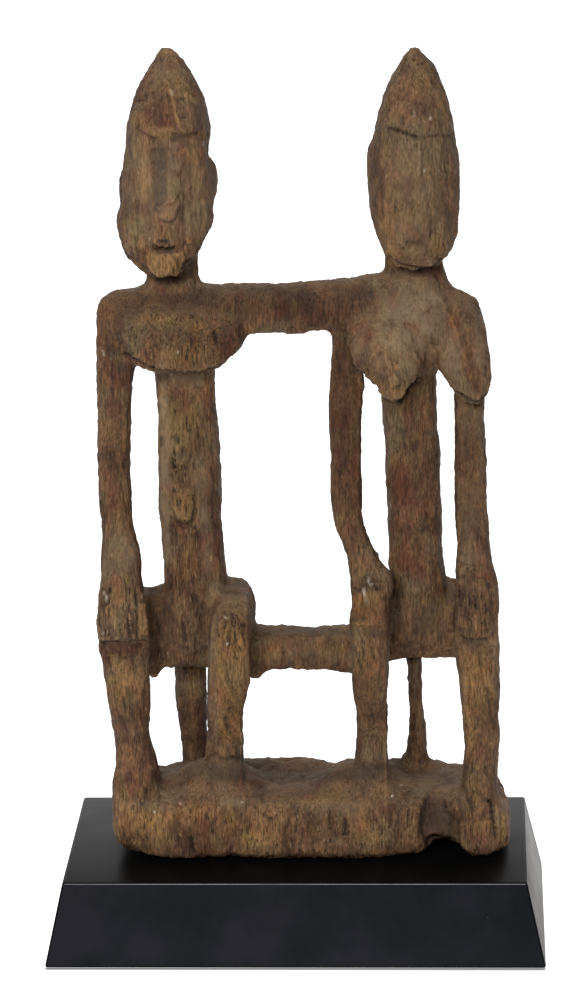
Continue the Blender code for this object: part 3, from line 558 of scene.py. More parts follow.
# The same, fading out upwards or downwards: at the last two heights it is full and gone
aprons = [
    # woman's neck under the chin, with painted shadow under the chin
    ([(50.8, 350.2), (54, 346.6), (57.2, 343.8), (62.1, 341.1), (67.5, 339), (72.8, 338.2),
      (79.3, 339.5), (84, 344.4), (89.6, 345.5), (91.7, 323.8),
      (50.5, 324.1)], -3.4, 0.45, "", 0, 336.7, 328.9),
    ([(53, 347.5), (56.7, 344.3), (62.1, 341.6), (67.5, 339.6), (72.9, 338.6), (79.3, 340), (84, 345),
      (86.4, 343.3), (82, 337.8), (75, 335.1), (64.2, 336.3),
      (56.1, 341.3)], 0, 0.6, "sootAndShade", 1, 338.4, 333.4),
    # breasts and the man's chest stand over what is below, with painted shadow under the breast and painted
    # light along its edge
    ([(22.1, 311.5), (30.2, 306.9), (32.8, 297.9), (41, 279.8), (21.5, 279.8)], -3.6, 0.35,
     "handledAndShade", 1, 297, 308.2),
    ([(21.5, 279.8), (41, 279.8), (38.5, 256), (21.5, 256)], -3.6, 0.35, "", 0, 279.8, 258),
    ([(21.5, 284), (39, 284), (41, 279.8), (38.5, 256), (21.5, 256)], 0, 0.6, "handledAndShade", 1, 276, 258),
    ([(30.3, 309.2), (32.5, 297.9), (39.1, 283.2), (42.4, 282.1), (51.3, 293.3), (47, 304.6),
      (36.8, 313.6)], 1.3, 0.35, "lighter", 0.5, 298.1, 310.4),
    ([(31.8, 300.2), (40.7, 279.8), (49.9, 270.5), (56.4, 264.7), (60.8, 266.9), (64.7, 273.5),
      (72.3, 278.5), (76.3, 298.8), (61.3, 315.7), (39.6, 315.8)], 1.8, 0.6, "", 0, 284.6, 304.8),
    ([(82.1, 280.2), (90.8, 271.1), (100.3, 265.9), (104.4, 264.8), (108, 269.8), (111, 281.7),
      (112.1, 304.1), (82.9, 304.3)], 1.5, 0.6, "", 0, 277.8, 296.4),
    ([(-84.7, 290.8), (-79.4, 285.7), (-71.8, 283.6), (-53.7, 281.9), (-41.1, 284.3), (-30.5, 291.6),
      (-24.4, 298.3), (-19.9, 303.9), (-19.7, 313.4), (-88.4, 313.9)], 1.3, 0.6, "", 0, 290.2, 307.6),
]

# Outline corrections: x, z, half width, half height, move in x and z
pulls = [
    (-4.4, 53.6, 29.4, 4.8, 0.1, 2.5), (30.5, 55.9, 5.1, 3.6, 0.1, 1.5), (21, 54.2, 4.5, 3, -0.1, -1.6),
    (56.3, 54.7, 6.8, 4.2, 0.1, 2.4), (77.7, 54.7, 5.6, 3.6, 0, 1.8), (-27.8, 64.4, 4.5, 8.4, 1.2, 0.6),
    (-66.1, 84.2, 4.5, 39.6, -1.6, 0), (-68.4, 60.3, 5.1, 7.2, -1.4, 0), (-51.1, 99.6, 2.3, 14.4, 1, 0),
    (-46.6, 99.6, 2.3, 14.4, -0.9, 0), (-73.7, 54.3, 5.6, 4.2, -0.1, -3), (55.3, 57.7, 4.5, 3.6, 0, 1.2),
    (84.8, 117.6, 2.8, 2.4, 0, 1.2), (1.1, 107.8, 23.7, 3.6, 0, 1.8), (3.8, 135.5, 19.8, 3, 0, -1.5),
    (-24.2, 153.8, 8.5, 16.8, 1.8, 1.1), (38.9, 225.3, 2.8, 28.8, 1, -0.1), (24.3, 202.3, 2.8, 16.8, -1.2, 0),
    (22.3, 253.9, 2.3, 13.2, -0.7, 0), (32, 163.5, 2.3, 12, -0.7, 0), (49.9, 178.5, 3.4, 6, -2, -0.6),
    (52.1, 171.5, 3.4, 5.4, -2.5, -0.5), (91.5, 204.9, 2.3, 27, -1.2, 0), (108.8, 285.6, 2.8, 19.2, 0.8, 0),
    (90.2, 170.2, 2.8, 8.4, -1.1, 0), (112.7, 153.8, 3.4, 16.8, 1.7, 0), (113.2, 120.5, 2.3, 10.8, 0.8, 0),
    (113, 71.3, 2.3, 8.4, 1.1, 0), (72, 115.9, 16.9, 3.6, 0, 2.1), (93.3, 327.2, 9, 7.8, 0, -2.4),
    (89, 330.5, 4, 4.2, 0, -1.4), (78.6, 445.1, 10.2, 19.2, -0.8, -0.3), (92.6, 385.7, 2.8, 30, 0.7, 0),
    (88.1, 272.8, 4, 4.8, 1.3, 0.5), (84.8, 276.2, 4.5, 4.8, 0.8, 0.8),
    (-108.1, 141.7, 2.3, 22.8, -0.9, 0),
    (117.4, 44.4, 4, 13.2, -2.2, 0), (118, 37.2, 2.8, 5.4, -1.9, 0), (-21.3, 107.3, 5.1, 4.2, 0, -1.2),
    (-1.1, 110.2, 10.2, 2.4, 0, -0.6), (-78.4, 108, 4, 4.8, 0.2, -2.9), (-72.7, 109.8, 3.4, 3, 0, 0.9),
    (-102.9, 75.3, 2.8, 19.2, -1.1, 0), (-89.9, 368.5, 2.8, 12, -1.1, 0),
    (-88.1, 392.7, 2.8, 13.8, -0.9, 0.1),
    (-104.7, 263.2, 2.3, 26.4, -0.7, 0), (-33.3, 288.8, 7.9, 6, -0.8, 1.7), (16.6, 303.7, 8.5, 3, 0, 1.1),
    (-88.2, 208.6, 2.3, 14.4, 0.8, 0), (-38.4, 397.8, 2.8, 13.2, -0.9, 0), (-38.8, 380.8, 2.3, 6, 1, 0),
    (-42, 360.9, 2.8, 5.4, 0.9, 0), (42.9, 278.1, 5.1, 5.4, -0.8, -0.5), (39.6, 276.5, 2.3, 6.6, 1.3, 0),
    (47.7, 271.9, 3.4, 4.2, 0.8, 0.6), (-79.4, 282.9, 7.3, 3.6, 0, 0.8), (-16.7, 301.6, 7.9, 3, 0, 1),
    (-70.8, 55.5, 6.8, 3, 0, 1.1), (83.6, 176.6, 2.3, 12, -0.7, 0), (-82.4, 330.7, 6.8, 3, 0, -0.6),
    (-15.1, 107.3, 5.1, 3, 0, 1.1), (18.7, 303.1, 5.6, 3, 0.1, 0.9), (-38, 389, 2.3, 6, 1.3, 0),
    (-38.8, 332.6, 10.2, 3, -0.1, -0.9), (-14.4, 330.7, 12.4, 2.4, -0.1, -0.5), (-84.6, 330.1, 7.3, 3, 0, -1),
    (-101.2, 321.3, 3.4, 6, -1.2, 0.8), (-81.1, 339.6, 5.6, 6, 0.6, 0.5), (46.3, 374, 2.3, 14.4, -0.6, 0),
    (45.5, 401.4, 2.3, 12, -0.7, 0.1), (-105.6, 203.5, 2.3, 14.4, -0.7, 0), (-24.8, 98.4, 2.8, 8.4, 1.1, 0),
    (-81.8, 86.6, 2.3, 15, 0.6, 0), (-39.1, 231.4, 2.3, 12, 0.7, 0), (-64.7, 457.3, 6.2, 6, -0.4, 0.8),
    (-72.7, 190.6, 2.3, 10.8, 0.6, 0), (-69.1, 453.6, 2.3, 3.6, 0.7, 0), (-61.1, 453.5, 2.3, 3.6, -0.6, 0),
    (-64.7, 458.4, 3.4, 3.6, 0, 1), (-38.7, 405.5, 2.3, 4.8, -1.1, 0), (-38.4, 395.6, 1.7, 2.4, 0.7, 0),
    (-72.1, 231.6, 2.3, 28.8, -0.8, 0), (82.2, 214.7, 2.3, 7.2, 0.6, 0), (50.8, 351.9, 2.8, 5.4, 0.7, 0),
    (85.8, 343.3, 2.8, 4.8, -0.9, 0), (10, 332.8, 5.1, 2.4, 0, 0.6),
]

# The block's front: how far its lower edge and its right foot stand forward, how far a leg that
# leans back slips sideways, and how steeply a mound ends
blockLook = {"belly": 3.4, "foot": 4.2, "slip": 0.05, "moundEdge": 1.6}

# Inner legs whose lower ends stand back from the block's edge: left and right side, move
leans = [(-61, -35, 12), (23, 47, 12)]

# Mounds where the legs grow out of the block: x, y, half width, half depth, height
mounds = [
    (-88, -20, 14, 13, 5), (-47, -10, 25, 20, 14), (37, -10, 23, 20, 12), (101, -18, 10, 14, 3),
]

# Pale flecks of broken fibre and painted glints: x, z, half width, half height
flecksAndGlints = [
    (-59.4, 436.2, 0.56, 1.65), (-64.1, 280.5, 0.64, 0.6), (-60.3, 292.9, 0.48, 0.6),
    (-66.9, 300.3, 0.32, 1.05),
    (-46.4, 300.1, 0.32, 1.2), (71.5, 393.8, 0.48, 0.75), (74.9, 392.4, 0.32, 0.6), (78.6, 421, 0.48, 0.9),
    (71.1, 276.3, 0.8, 0.68), (69.2, 274.2, 0.4, 0.38), (-103.9, 151.7, 0.4, 2.1), (-106, 131.1, 0.32, 1.35),
    (-99.5, 117, 0.56, 0.6), (-37.7, 140, 0.48, 0.9), (-37.1, 124.4, 0.48, 0.6), (-34.5, 117.9, 0.32, 0.9),
    (42, 161.1, 0.64, 0.9), (43.8, 159.3, 0.8, 0.68), (39.9, 154.1, 0.48, 2.25), (41.6, 148.3, 0.32, 1.5),
    (100.8, 147.7, 0.4, 0.38), (102.7, 146.5, 0.4, 0.38), (-80.5, 24.2, 0.64, 0.6), (34.4, 19.8, 1.12, 0.38),
    (53.9, 33.7, 0.56, 0.6), (61, 36.7, 0.72, 0.38), (70.5, 38.5, 0.64, 0.45), (78.1, 41.5, 0.4, 0.6),
    (59.2, 40.3, 0.4, 0.38), (94.7, 24.6, 0.48, 0.38), (-0.4, 21.7, 0.32, 0.9), (22.1, 19.2, 0.64, 0.3),
    (-100.8, 291.5, 0.32, 1.8), (-97.1, 290.9, 0.32, 1.95), (-65.9, 29.6, 0.4, 0.3), (-30.8, 29.8, 0.72, 0.3),
    (-98.9, 324.3, 0.48, 0.38), (-86, 179.1, 0.4, 0.38), (-95.7, 182.6, 0.4, 0.38), (96.8, 167.3, 0.4, 0.3),
    (-61.6, 355.3, 0.32, 0.3), (-74, 356.8, 0.32, 0.75), (-53.9, 359.4, 0.4, 0.6), (-59.7, 374.3, 0.32, 0.6),
    (-50, 143.3, 0.32, 0.3), (42.5, 162.3, 0.96, 0.6), (39.4, 155.9, 0.36, 1.8), (41.2, 150.6, 0.32, 1.8),
    (-104.9, 155.2, 0.32, 1.95),
]

# Stained, rubbed and dusty areas, with painted shade in the soot and handling ones and painted light in the
# lighter ones: x, z, half width, half height, strength
areas = {
    "dusty": [
        (64, 312.9, 14, 14, 1), (56.8, 301.7, 11, 12, 0.9), (71.1, 321.2, 10, 12, 0.9),
        (71.9, 296, 8, 9, 0.7), (55.5, 287.6, 10, 9, 0.6), (64.1, 332.4, 7, 6, 0.7),
        (81.8, 304.3, 6, 20, 0.7), (86.5, 287.4, 6, 12, 0.6), (103.4, 298.6, 4, 20, 0.5),
        (-58.5, 391.4, 4, 12, 0.7), (-47.3, 363.7, 4, 12, 0.6), (-46.8, 426.8, 5, 14, 0.35),
        (-62.7, 454.1, 6, 7, 0.3), (-55.5, 277.1, 14, 4, 0.8), (-70, 248.7, 3.2, 30, 0.8),
        (-71.1, 208.5, 3.4, 26, 0.6), (-49.8, 220, 5, 9, 0.7), (-48.6, 199.8, 4, 9, 0.8),
        (-47.1, 173.7, 3, 10, 0.5), (-89.6, 182.6, 9, 7, 0.7), (98.6, 207.7, 6, 34, 0.5),
        (98.5, 173.1, 9, 6, 0.7), (-34.8, 152, 8, 4, 0.7), (-45.4, 103.2, 2.6, 30, 0.6),
        (5.2, 55.4, 30, 2, 0.5), (30.1, 28.3, 14, 4, 0.6), (-34.8, 29.6, 8, 2.6, 0.7),
        (-82.9, 28.4, 14, 3, 0.6), (20.2, 116.6, 14, 4, 0.3), (3.5, 117.8, 20, 4, 0.4),
        (64.8, 395.8, 6, 12, 0.4), (46.4, 343.6, 4, 4, 0.2), (38.2, 295.6, 6, 14, 0.6),
        (-45.7, 46.5, 24, 9, 0.4), (42.8, 45.7, 16, 7, 0.3), (-60.8, 383.2, 24, 34, 0.5),
        (67.3, 382.1, 24, 44, 0.3), (-43.2, 377.5, 5, 26, 0.5), (71.9, 296, 8, 10, 0.8),
        (74.9, 321.2, 9, 9, 1), (-72.6, 388.8, 9, 18, 0.55), (-48, 377.6, 7, 30, 0.6),
        (-57.1, 360, 12, 8, 0.45), (-76.2, 358.4, 10, 12, 0.3), (-65.6, 446, 10, 16, 0.4),
        (70, 376.6, 16, 40, 0.45), (62.1, 393.1, 12, 26, 0.35), (78.4, 425.6, 10, 12, 0.35),
        (61.1, 301.7, 16, 16, 0.9), (53.1, 310.1, 12, 10, 0.8), (77.6, 321.1, 12, 12, 1),
        (74.7, 304.4, 12, 16, 0.9), (63.7, 286.5, 12, 12, 0.6), (90.9, 293, 8, 18, 0.8),
        (104.5, 293, 5, 24, 0.7), (98.9, 253.4, 8, 24, 0.45), (-68.9, 248.7, 3, 40, 0.9),
        (-37.6, 150.3, 10, 8, 0.6), (-92.5, 176.8, 12, 9, 0.6),
    ],
    "reddish": [
        (88.4, 318.3, 3, 8, 0.9), (92.6, 307.1, 3, 10, 1), (97.4, 291.9, 3, 10, 1),
        (101.2, 277.2, 3, 9, 0.9), (-101.1, 308.4, 3.5, 16, 0.8), (29.8, 313.1, 7, 10, 0.6),
        (1.5, 313.3, 20, 6, 0.5), (27.8, 253.9, 6, 30, 0.6), (-52.7, 322.1, 8, 4, 0.3),
        (-51.5, 240, 6, 6, 0.7), (-63.3, 190, 4, 6, 0.8), (-57.5, 176.6, 6, 14, 0.9),
        (-59.2, 132.8, 6, 9, 0.7), (-94.2, 121.1, 9, 4, 0.9), (-98.3, 60.4, 9, 5, 0.5),
        (-47.1, 57.3, 7, 3, 0.7), (5.6, 13.8, 4, 5, 0.8), (-38, 13.2, 5, 12, 0.7),
        (24.1, 2.2, 5, 4, 0.6), (100.4, 5.8, 9, 4, 0.6), (56.5, 126.5, 5, 8, 0.3),
        (73.6, 167.4, 9, 14, 0.4), (76.8, 225.1, 5, 22, 0.5), (60.2, 213.7, 4, 18, 0.4),
        (-41.2, 302.4, 3, 7, 0.7), (-34.2, 296.7, 5, 6, 0.6), (-66.6, 350, 5, 2.4, 0.6),
        (-54.1, 392.5, 4, 8, 0.6), (-81.1, 391, 5, 8, 0.3), (53.9, 382.2, 4, 14, 0.4),
        (69.8, 358.9, 2.4, 5, 0.6), (63.9, 420.3, 2.4, 4, 0.7), (-68.8, 428.1, 6, 10, 0.35),
        (93.3, 135.2, 5, 6, 0.6), (103.5, 61.2, 5, 6, 0.4), (67.2, 79.2, 4, 16, 0.4),
        (-58.9, 82.4, 5, 16, 0.4), (-95.3, 265.9, 6, 20, 0.4), (-98.6, 283, 4, 14, 0.5),
        (54, 49.3, 4, 5, 0.7), (-89.6, 274.4, 5, 12, 0.5),
    ],
    "golden": [
        (-75.3, 388.8, 3, 12, 0.7), (-68.4, 343.4, 7, 6, 0.9), (-65.3, 337.8, 6, 3, 1),
        (-71.8, 416.1, 4, 3, 0.6), (-62.7, 413.9, 8, 2, 0.8), (-51.4, 413.2, 5, 2, 0.3),
        (-63.9, 310.9, 18, 4, 0.7), (-56.2, 294, 20, 8, 0.5), (-53.1, 308.1, 8, 4, 0.7),
        (57.3, 349.1, 8, 6, 0.8), (53.7, 362.9, 6, 9, 0.5), (83.2, 354.4, 5, 10, 0.5),
        (78, 376.5, 6, 14, 0.3), (-60, 251.5, 9, 14, 0.6), (-55.2, 225.7, 7, 8, 0.5),
        (-58.5, 203.9, 6, 7, 0.5), (-57.6, 173.7, 4, 12, 0.6), (-92, 103.3, 9, 9, 0.8),
        (-96.8, 111, 5, 5, 0.5), (-82.4, 141.7, 4, 10, 0.8), (-98.9, 150.5, 7, 10, 0.4),
        (-33.1, 126.8, 7, 16, 1), (-36, 97.2, 6, 14, 0.6), (36.8, 147.1, 4, 8, 1),
        (47.4, 150, 4, 10, 0.5), (40.2, 111.8, 6, 14, 0.7), (39.4, 91.1, 6, 14, 0.4),
        (103.6, 96.9, 8, 26, 0.7), (97.9, 67.2, 6, 10, 0.4), (-83.1, 19.3, 22, 9, 0.7),
        (-21, 10.2, 10, 9, 0.8), (-54.7, 24.1, 8, 6, 0.7), (13.3, 31.3, 18, 3.4, 0.8),
        (41.2, 10.1, 10, 7, 0.5), (117.4, 22.2, 3, 12, 0.9), (106.1, 16.1, 8, 4, 0.5),
        (-13.2, 117.9, 9, 5, 0.7), (23.1, 120.7, 8, 5, 0.5), (-97.5, 316.8, 3, 12, 0.4),
        (-61.5, 458.4, 3, 3, 0.9), (-66.1, 369.4, 6, 3, 0.4), (83.8, 431, 3, 10, 0.3),
        (73.2, 439.2, 5, 9, 0.4), (59.7, 423.1, 4, 5, 0.4), (90, 311, 2, 6, 0.8),
        (93.1, 300.9, 2, 5, 0.7), (96.3, 289.6, 2, 6, 0.8), (100.6, 277.8, 2, 5, 0.7),
    ],
    "sootAndShade": [
        (-67.2, 397, 4.2, 10, 1), (-67.6, 382.1, 4, 12, 1), (-57.4, 412, 3.6, 1.8, 0.9),
        (76.8, 426.7, 3.6, 4, 0.5), (74.3, 383.7, 3, 3, 0.35), (43.1, 159.3, 5.5, 5, 0.8),
        (47.2, 131.2, 6, 3, 0.8), (101.5, 124, 7, 2.6, 0.8), (75.2, 22.2, 4.5, 12, 0.9),
        (76.2, 8.3, 5, 5, 0.6), (-85.6, 315.6, 4.5, 6, 0.5), (-47.2, 324.8, 12, 4.5, 0.7),
        (-11.8, 326.2, 22, 4, 0.6), (39.7, 325.9, 16, 4, 0.6), (-0.6, 46.4, 34, 5, 0.7),
        (-31.5, 49.4, 16, 6, 0.6), (-59.8, 46.5, 6, 3, 0.7), (69.8, 47.5, 14, 3, 0.6),
        (86.6, 46.3, 8, 4, 0.5), (43.8, 82.2, 4, 4, 0.7), (-96.1, 78.3, 4.5, 4, 0.6),
        (-71.2, 144.5, 8, 14, 0.5), (-69.9, 129.8, 8, 10, 0.5), (76.1, 138.2, 13, 16, 0.5),
        (59.5, 144.1, 6, 16, 0.4), (3.8, 132.6, 26, 2.2, 0.9), (-30.8, 157.3, 8, 4, 0.4),
        (-90.9, 284.1, 5, 6, 0.8), (-64.4, 333.3, 6.5, 3, 0.8), (70.1, 337.9, 13, 2.2, 0.6),
        (-91.2, 128.1, 6, 3, 0.6), (-95.9, 156.4, 5, 4, 0.3), (-104, 76.5, 4, 6, 0.3),
        (-58.1, 112.1, 12, 1.5, 0.6), (-39.4, 194, 3, 16, 0.3), (50.9, 117.7, 4, 6, 0.4),
        (-50.3, 85.4, 2.4, 30, 0.5), (26.1, 321.5, 14, 4, 0.4), (69.2, 111.8, 5, 3, 0.5),
        (100.5, 31.2, 9, 4, 0.25),
    ],
    "handledAndShade": [
        (-45.7, 44.6, 26, 8, 0.25), (41.6, 43.3, 18, 7, 0.15), (-34, 139.7, 9, 7, 0.4),
        (-32.8, 115, 10, 40, 0.25), (102.5, 91, 9, 50, 0.2), (41.2, 97, 8, 40, 0.2),
        (2.3, 50.6, 110, 6, 0.5), (-65, 427, 8, 14, 0.3), (101.1, 142.8, 9, 12, 0.25),
        (31.4, 117.8, 3, 20, 0.3), (-60.9, 322.1, 42, 6, 0.9), (-90.9, 319.5, 12, 10, 0.8),
        (-36.4, 320.8, 20, 10, 0.8), (-1.1, 318.9, 32, 12, 0.95), (28.8, 321.5, 14, 12, 0.7),
        (-58.7, 299.7, 28, 10, 0.75), (-34.2, 296.7, 8, 14, 0.8), (-96.2, 237.4, 7, 60, 0.4),
        (30.5, 248.1, 9, 70, 1), (98.7, 224.9, 8, 60, 0.7), (-39.7, 296.7, 7, 12, 0.8),
        (-54.9, 237.2, 9, 26, 0.5), (-56.3, 182.4, 8, 26, 0.3), (68.6, 225.1, 12, 50, 0.35),
        (42.2, 91.1, 10, 34, 0.7), (-33.4, 88.3, 9, 26, 0.6), (-93.4, 91.4, 12, 26, 0.6),
        (-103.1, 70.6, 10, 18, 0.6), (103.6, 82.1, 10, 30, 0.3), (-3.4, 46.4, 90, 8, 0.75),
        (-82.5, 43.5, 30, 8, 0.6), (2.1, 36.2, 60, 6, 0.55), (33, 31.3, 20, 5, 0.45),
        (41.4, 158.2, 5, 4, 0.7), (42.7, 84, 3, 7, 0.7), (37.3, 143, 5, 6, 0.8),
        (33, 155.9, 3, 4, 0.5), (3.6, 123.7, 30, 10, 0.35), (-35.5, 120.9, 9, 30, 0.35),
        (53.4, 91.1, 9, 26, 0.35), (101.1, 144, 12, 16, 0.35), (-57.7, 126.9, 14, 20, 0.2),
        (-82.6, 37.5, 22, 10, 0.3), (109, 43.2, 14, 12, 0.5), (28.4, 293.5, 7, 22, 0.95),
        (32.5, 196.5, 8, 20, 0.4), (-44.8, 311.9, 20, 6, 0.5),
    ],
    "lighter": [
        (37.1, 294.5, 6, 14, 1), (-69.3, 254.4, 3, 44, 1), (-58.5, 388.7, 24, 40, 0.95),
        (-72.6, 388.8, 8, 30, 0.6), (-68.1, 355.6, 16, 16, 0.5), (52.9, 296.1, 12, 20, 0.9),
        (74.7, 307.2, 12, 26, 0.6), (103.4, 293, 9, 28, 0.7), (-96.1, 150.5, 9, 22, 0.8),
        (-86, 19.3, 30, 9, 0.3), (-93.9, 37.5, 14, 6, 0.35), (114.5, 16.1, 6, 16, 0.6),
        (91, 309.9, 5, 16, 0.6), (-92, 103.3, 7, 10, 0.4),
    ],
}

# Broad hollows (deeper than 0) and swellings (less than 0): x, z, half width, half height, depth
formAreas = [
    # man: hollow of the neck, forehead panel, nose tip, chin
    (-64.4, 332.8, 7, 3.6, 3), (-67.2, 426.5, 6.5, 9, 0.8), (-62.8, 370, 4.4, 4, -1.5),
    (-66.9, 341.7, 8, 5, -1.2), (-50.6, 383.1, 5, 22, 0.5), (-78.1, 383.3, 4, 22, 0.4),
    # woman: hollow of the neck, jaw, nipple, side of the shoulder
    (70.1, 336.8, 14, 2.6, 2.6), (84.8, 349.4, 4, 5, -1.4), (57.6, 276.4, 4.4, 4.4, -1.6),
    (83.6, 329.5, 5, 5, 1.4), (75.7, 292, 4, 12, 0.8),
    # man: body under the chest, chest front, navel
    (-57.1, 277.6, 17, 4, 2.2), (-58.8, 297.4, 26, 9, -0.8), (-59, 204.5, 6.4, 8, -1.2),
    (-62.9, 182.5, 5, 14, 0.4),
    # hands end proud of the knees
    (-94.2, 120.5, 14, 4.6, 1.2), (101.5, 121.7, 10, 4, 1.4), (47.1, 130.7, 7, 3, 0.8),
    (-98.6, 141.7, 12, 12, -0.6), (100.5, 146.9, 10, 14, -0.6), (42.4, 151.2, 9, 10, -0.6),
    # block: notch and the worn ends
    (76.3, 18, 5.5, 15, 4.6), (-97.8, 2.3, 14, 5, 1.5), (-37.5, 8.4, 3, 9, 0.6),
    (-77.9, 4.1, 3, 6, 0.4),
]

# Flats planed on the two bodies: centre line bottom and top (x at z 150 and z 290), corner line, inward way
planedFlats = [
    {"line": (-55.4, -59.0), "from": (-17.6, -5.5), "to": (-11.5, -13), "low": 152, "high": 279},
    {"line": (-55.4, -59.0), "from": (17.6, -8.5), "to": (14.0, -12.5), "low": 160, "high": 279},
    {"line": (69.6, 64.4), "from": (-15.6, -4.5), "to": (-10.0, -12), "low": 152, "high": 262},
    {"line": (69.6, 64.4), "from": (15.6, -7.0), "to": (11.5, -12), "low": 158, "high": 262},
]


# Where the viewer's line of sight through each point meets the plane the marks are drawn on
def asSeen(p):
    eye = np.array(cameraLook["place"]) * 1000.0 - np.array([0, 0, standTop * 1000.0])
    share = (markPlane - eye[1]) / (p[:, 1] - eye[1])
    return eye[0] + share * (p[:, 0] - eye[0]), eye[2] + share * (p[:, 2] - eye[2])


# Which points lie close enough to a run of points to be touched by it
def nearRun(x, z, points, reach):
    xs, zs = zip(*points)
    across = (x > min(xs) - reach) & (x < max(xs) + reach)
    return np.flatnonzero(across & (z > min(zs) - reach) & (z < max(zs) + reach))


# How far each place is from the straight stretches between the points
def distanceToRun(px, pz, points):
    nearest = np.full(len(px), 1e9)
    for (ax, az), (bx, bz) in zip(points, points[1:]):
        dx, dz = bx - ax, bz - az
        t = np.clip(((px - ax) * dx + (pz - az) * dz) / (dx * dx + dz * dz), 0, 1)
        nearest = np.minimum(nearest, np.hypot(px - ax - t * dx, pz - az - t * dz))
    return nearest


# How strongly each point belongs to a line; the line wavers a little, as a knife or a crack does
def lineShare(x, z, points, half):
    share = np.zeros(len(x))
    near = nearRun(x, z, points, half * 2.6 + 0.5)
    if not len(near):
        return share
    px = x[near] + 0.30 * np.sin(z[near] * 1.9 + x[near] * 0.7) + 0.16 * np.sin(z[near] * 4.7)
    pz = z[near] + 0.30 * np.sin(x[near] * 1.7 + z[near] * 0.5) + 0.16 * np.sin(x[near] * 4.3)
    nearest = distanceToRun(px, pz, points)
    uneven = 0.82 + 0.18 * np.sin(px * 2.3 + pz * 1.1) * np.sin(pz * 1.3 + 0.7)
    share[near] = np.exp(-((nearest / half) ** 2)) * uneven
    return share


def spotShare(x, z, cx, cz, rx, rz):
    return np.exp(-((((x - cx) / rx) ** 2 + ((z - cz) / rz) ** 2) ** 1.5))


# 1 inside the outline, 0 outside, with an edge as soft as asked
def stepShare(x, z, points, soft):
    share = np.zeros(len(x))
    near = nearRun(x, z, points, soft + 0.6)
    if not len(near):
        return share
    px = x[near] + 0.22 * np.sin(z[near] * 2.1 + x[near] * 0.6)
    pz = z[near] + 0.22 * np.sin(x[near] * 1.9 + z[near] * 0.4)
    closed = points + points[:1]
    nearest = distanceToRun(px, pz, closed)
    inside = np.zeros(len(near), bool)
    for (ax, az), (bx, bz) in zip(closed, closed[1:]):
        if bz - az:
            inside ^= ((az > pz) != (bz > pz)) & (px < ax + (pz - az) * (bx - ax) / (bz - az))
    share[near] = smoothStep(-soft, soft, np.where(inside, nearest, -nearest))
    return share


def fineCopy(nodeName, name, look):
    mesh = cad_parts[nodeName].data.copy()
    work = bmesh.new()
    work.from_mesh(mesh)
    bmesh.ops.remove_doubles(work, verts=work.verts, dist=1e-6)
    work.to_mesh(mesh)
    work.free()
    rough = newObject(name + "Rough", mesh)
    rounding = rough.modifiers.new("round", "SUBSURF")
    rounding.levels = rounding.render_levels = 1
    fuse = rough.modifiers.new("fuse", "REMESH")
    fuse.mode = "VOXEL"
    fuse.voxel_size = look["voxel"] * 1
    ease = rough.modifiers.new("ease", "SMOOTH")
    ease.factor = 0.5
    ease.iterations = look["soften"]
    fine = settledMesh(rough, name)
    bpy.data.objects.remove(rough)
    return newObject(name, fine)


def planeBodies(p):
    for flat in planedFlats:
        bottom, top = flat["line"]
        centre = bottom + (top - bottom) * (p[:, 2] - 150) / 140
        (ax, ay), (bx, by) = flat["from"], flat["to"]
        out = np.array([-(by - ay), bx - ax]) * (1 if ax < 0 else -1)
        out = out / np.hypot(*out)
        if out[1] > 0:
            out = -out
        x = p[:, 0] - centre
        proud = (x - ax) * out[0] + (p[:, 1] - ay) * out[1]
        nearBody = (np.abs(x) < 22) & (p[:, 1] < 3)
        share = smoothStep(flat["low"], flat["low"] + 8, p[:, 2])
        share *= 1 - smoothStep(flat["high"] - 4, flat["high"], p[:, 2])
        move = np.where(nearBody, np.clip(proud, 0, 4) * share, 0)
        p[:, 0] -= out[0] * move
        p[:, 1] -= out[1] * move
    return p


# Limbs and edges nudged to their outlines
def pullOutlines(p):
    x, z = asSeen(p)
    for cx, cz, rx, rz, dx, dz in pulls:
        share = spotShare(x, z, cx, cz, rx, rz)
        p[:, 0] += dx * share
        p[:, 2] += dz * share
    # the block's lower front edge and its right foot stand forward
    low = 1 - smoothStep(0, 18, p[:, 2])
    belly = smoothStep(-92, -70, p[:, 0]) * (1 - smoothStep(40, 58, p[:, 0]))
    foot = smoothStep(84, 92, p[:, 0]) * (1 - smoothStep(106, 114, p[:, 0]))
    forward = blockLook["belly"] * belly + blockLook["foot"] * foot
    p[:, 1] -= forward * low * smoothStep(5, 25, -p[:, 1])
    for left, right, back in leans:
        across = smoothStep(left - 6, left, p[:, 0]) * (1 - smoothStep(right, right + 6, p[:, 0]))
        share = across * smoothStep(30, 46, p[:, 2]) * (1 - smoothStep(52, 108, p[:, 2]))
        share = share * (1 - smoothStep(0, 10, p[:, 1]))
        p[:, 1] += back * share
        p[:, 0] -= blockLook["slip"] * back * share
    layer = smoothStep(5, 30, p[:, 2]) * (1 - smoothStep(42, 75, p[:, 2]))
    for cx, cy, rx, ry, up in mounds:
        spread = ((p[:, 0] - cx) / rx) ** 2 + ((p[:, 1] - cy) / ry) ** 2
        p[:, 2] += up * layer * np.exp(-spread ** blockLook["moundEdge"])
    return p


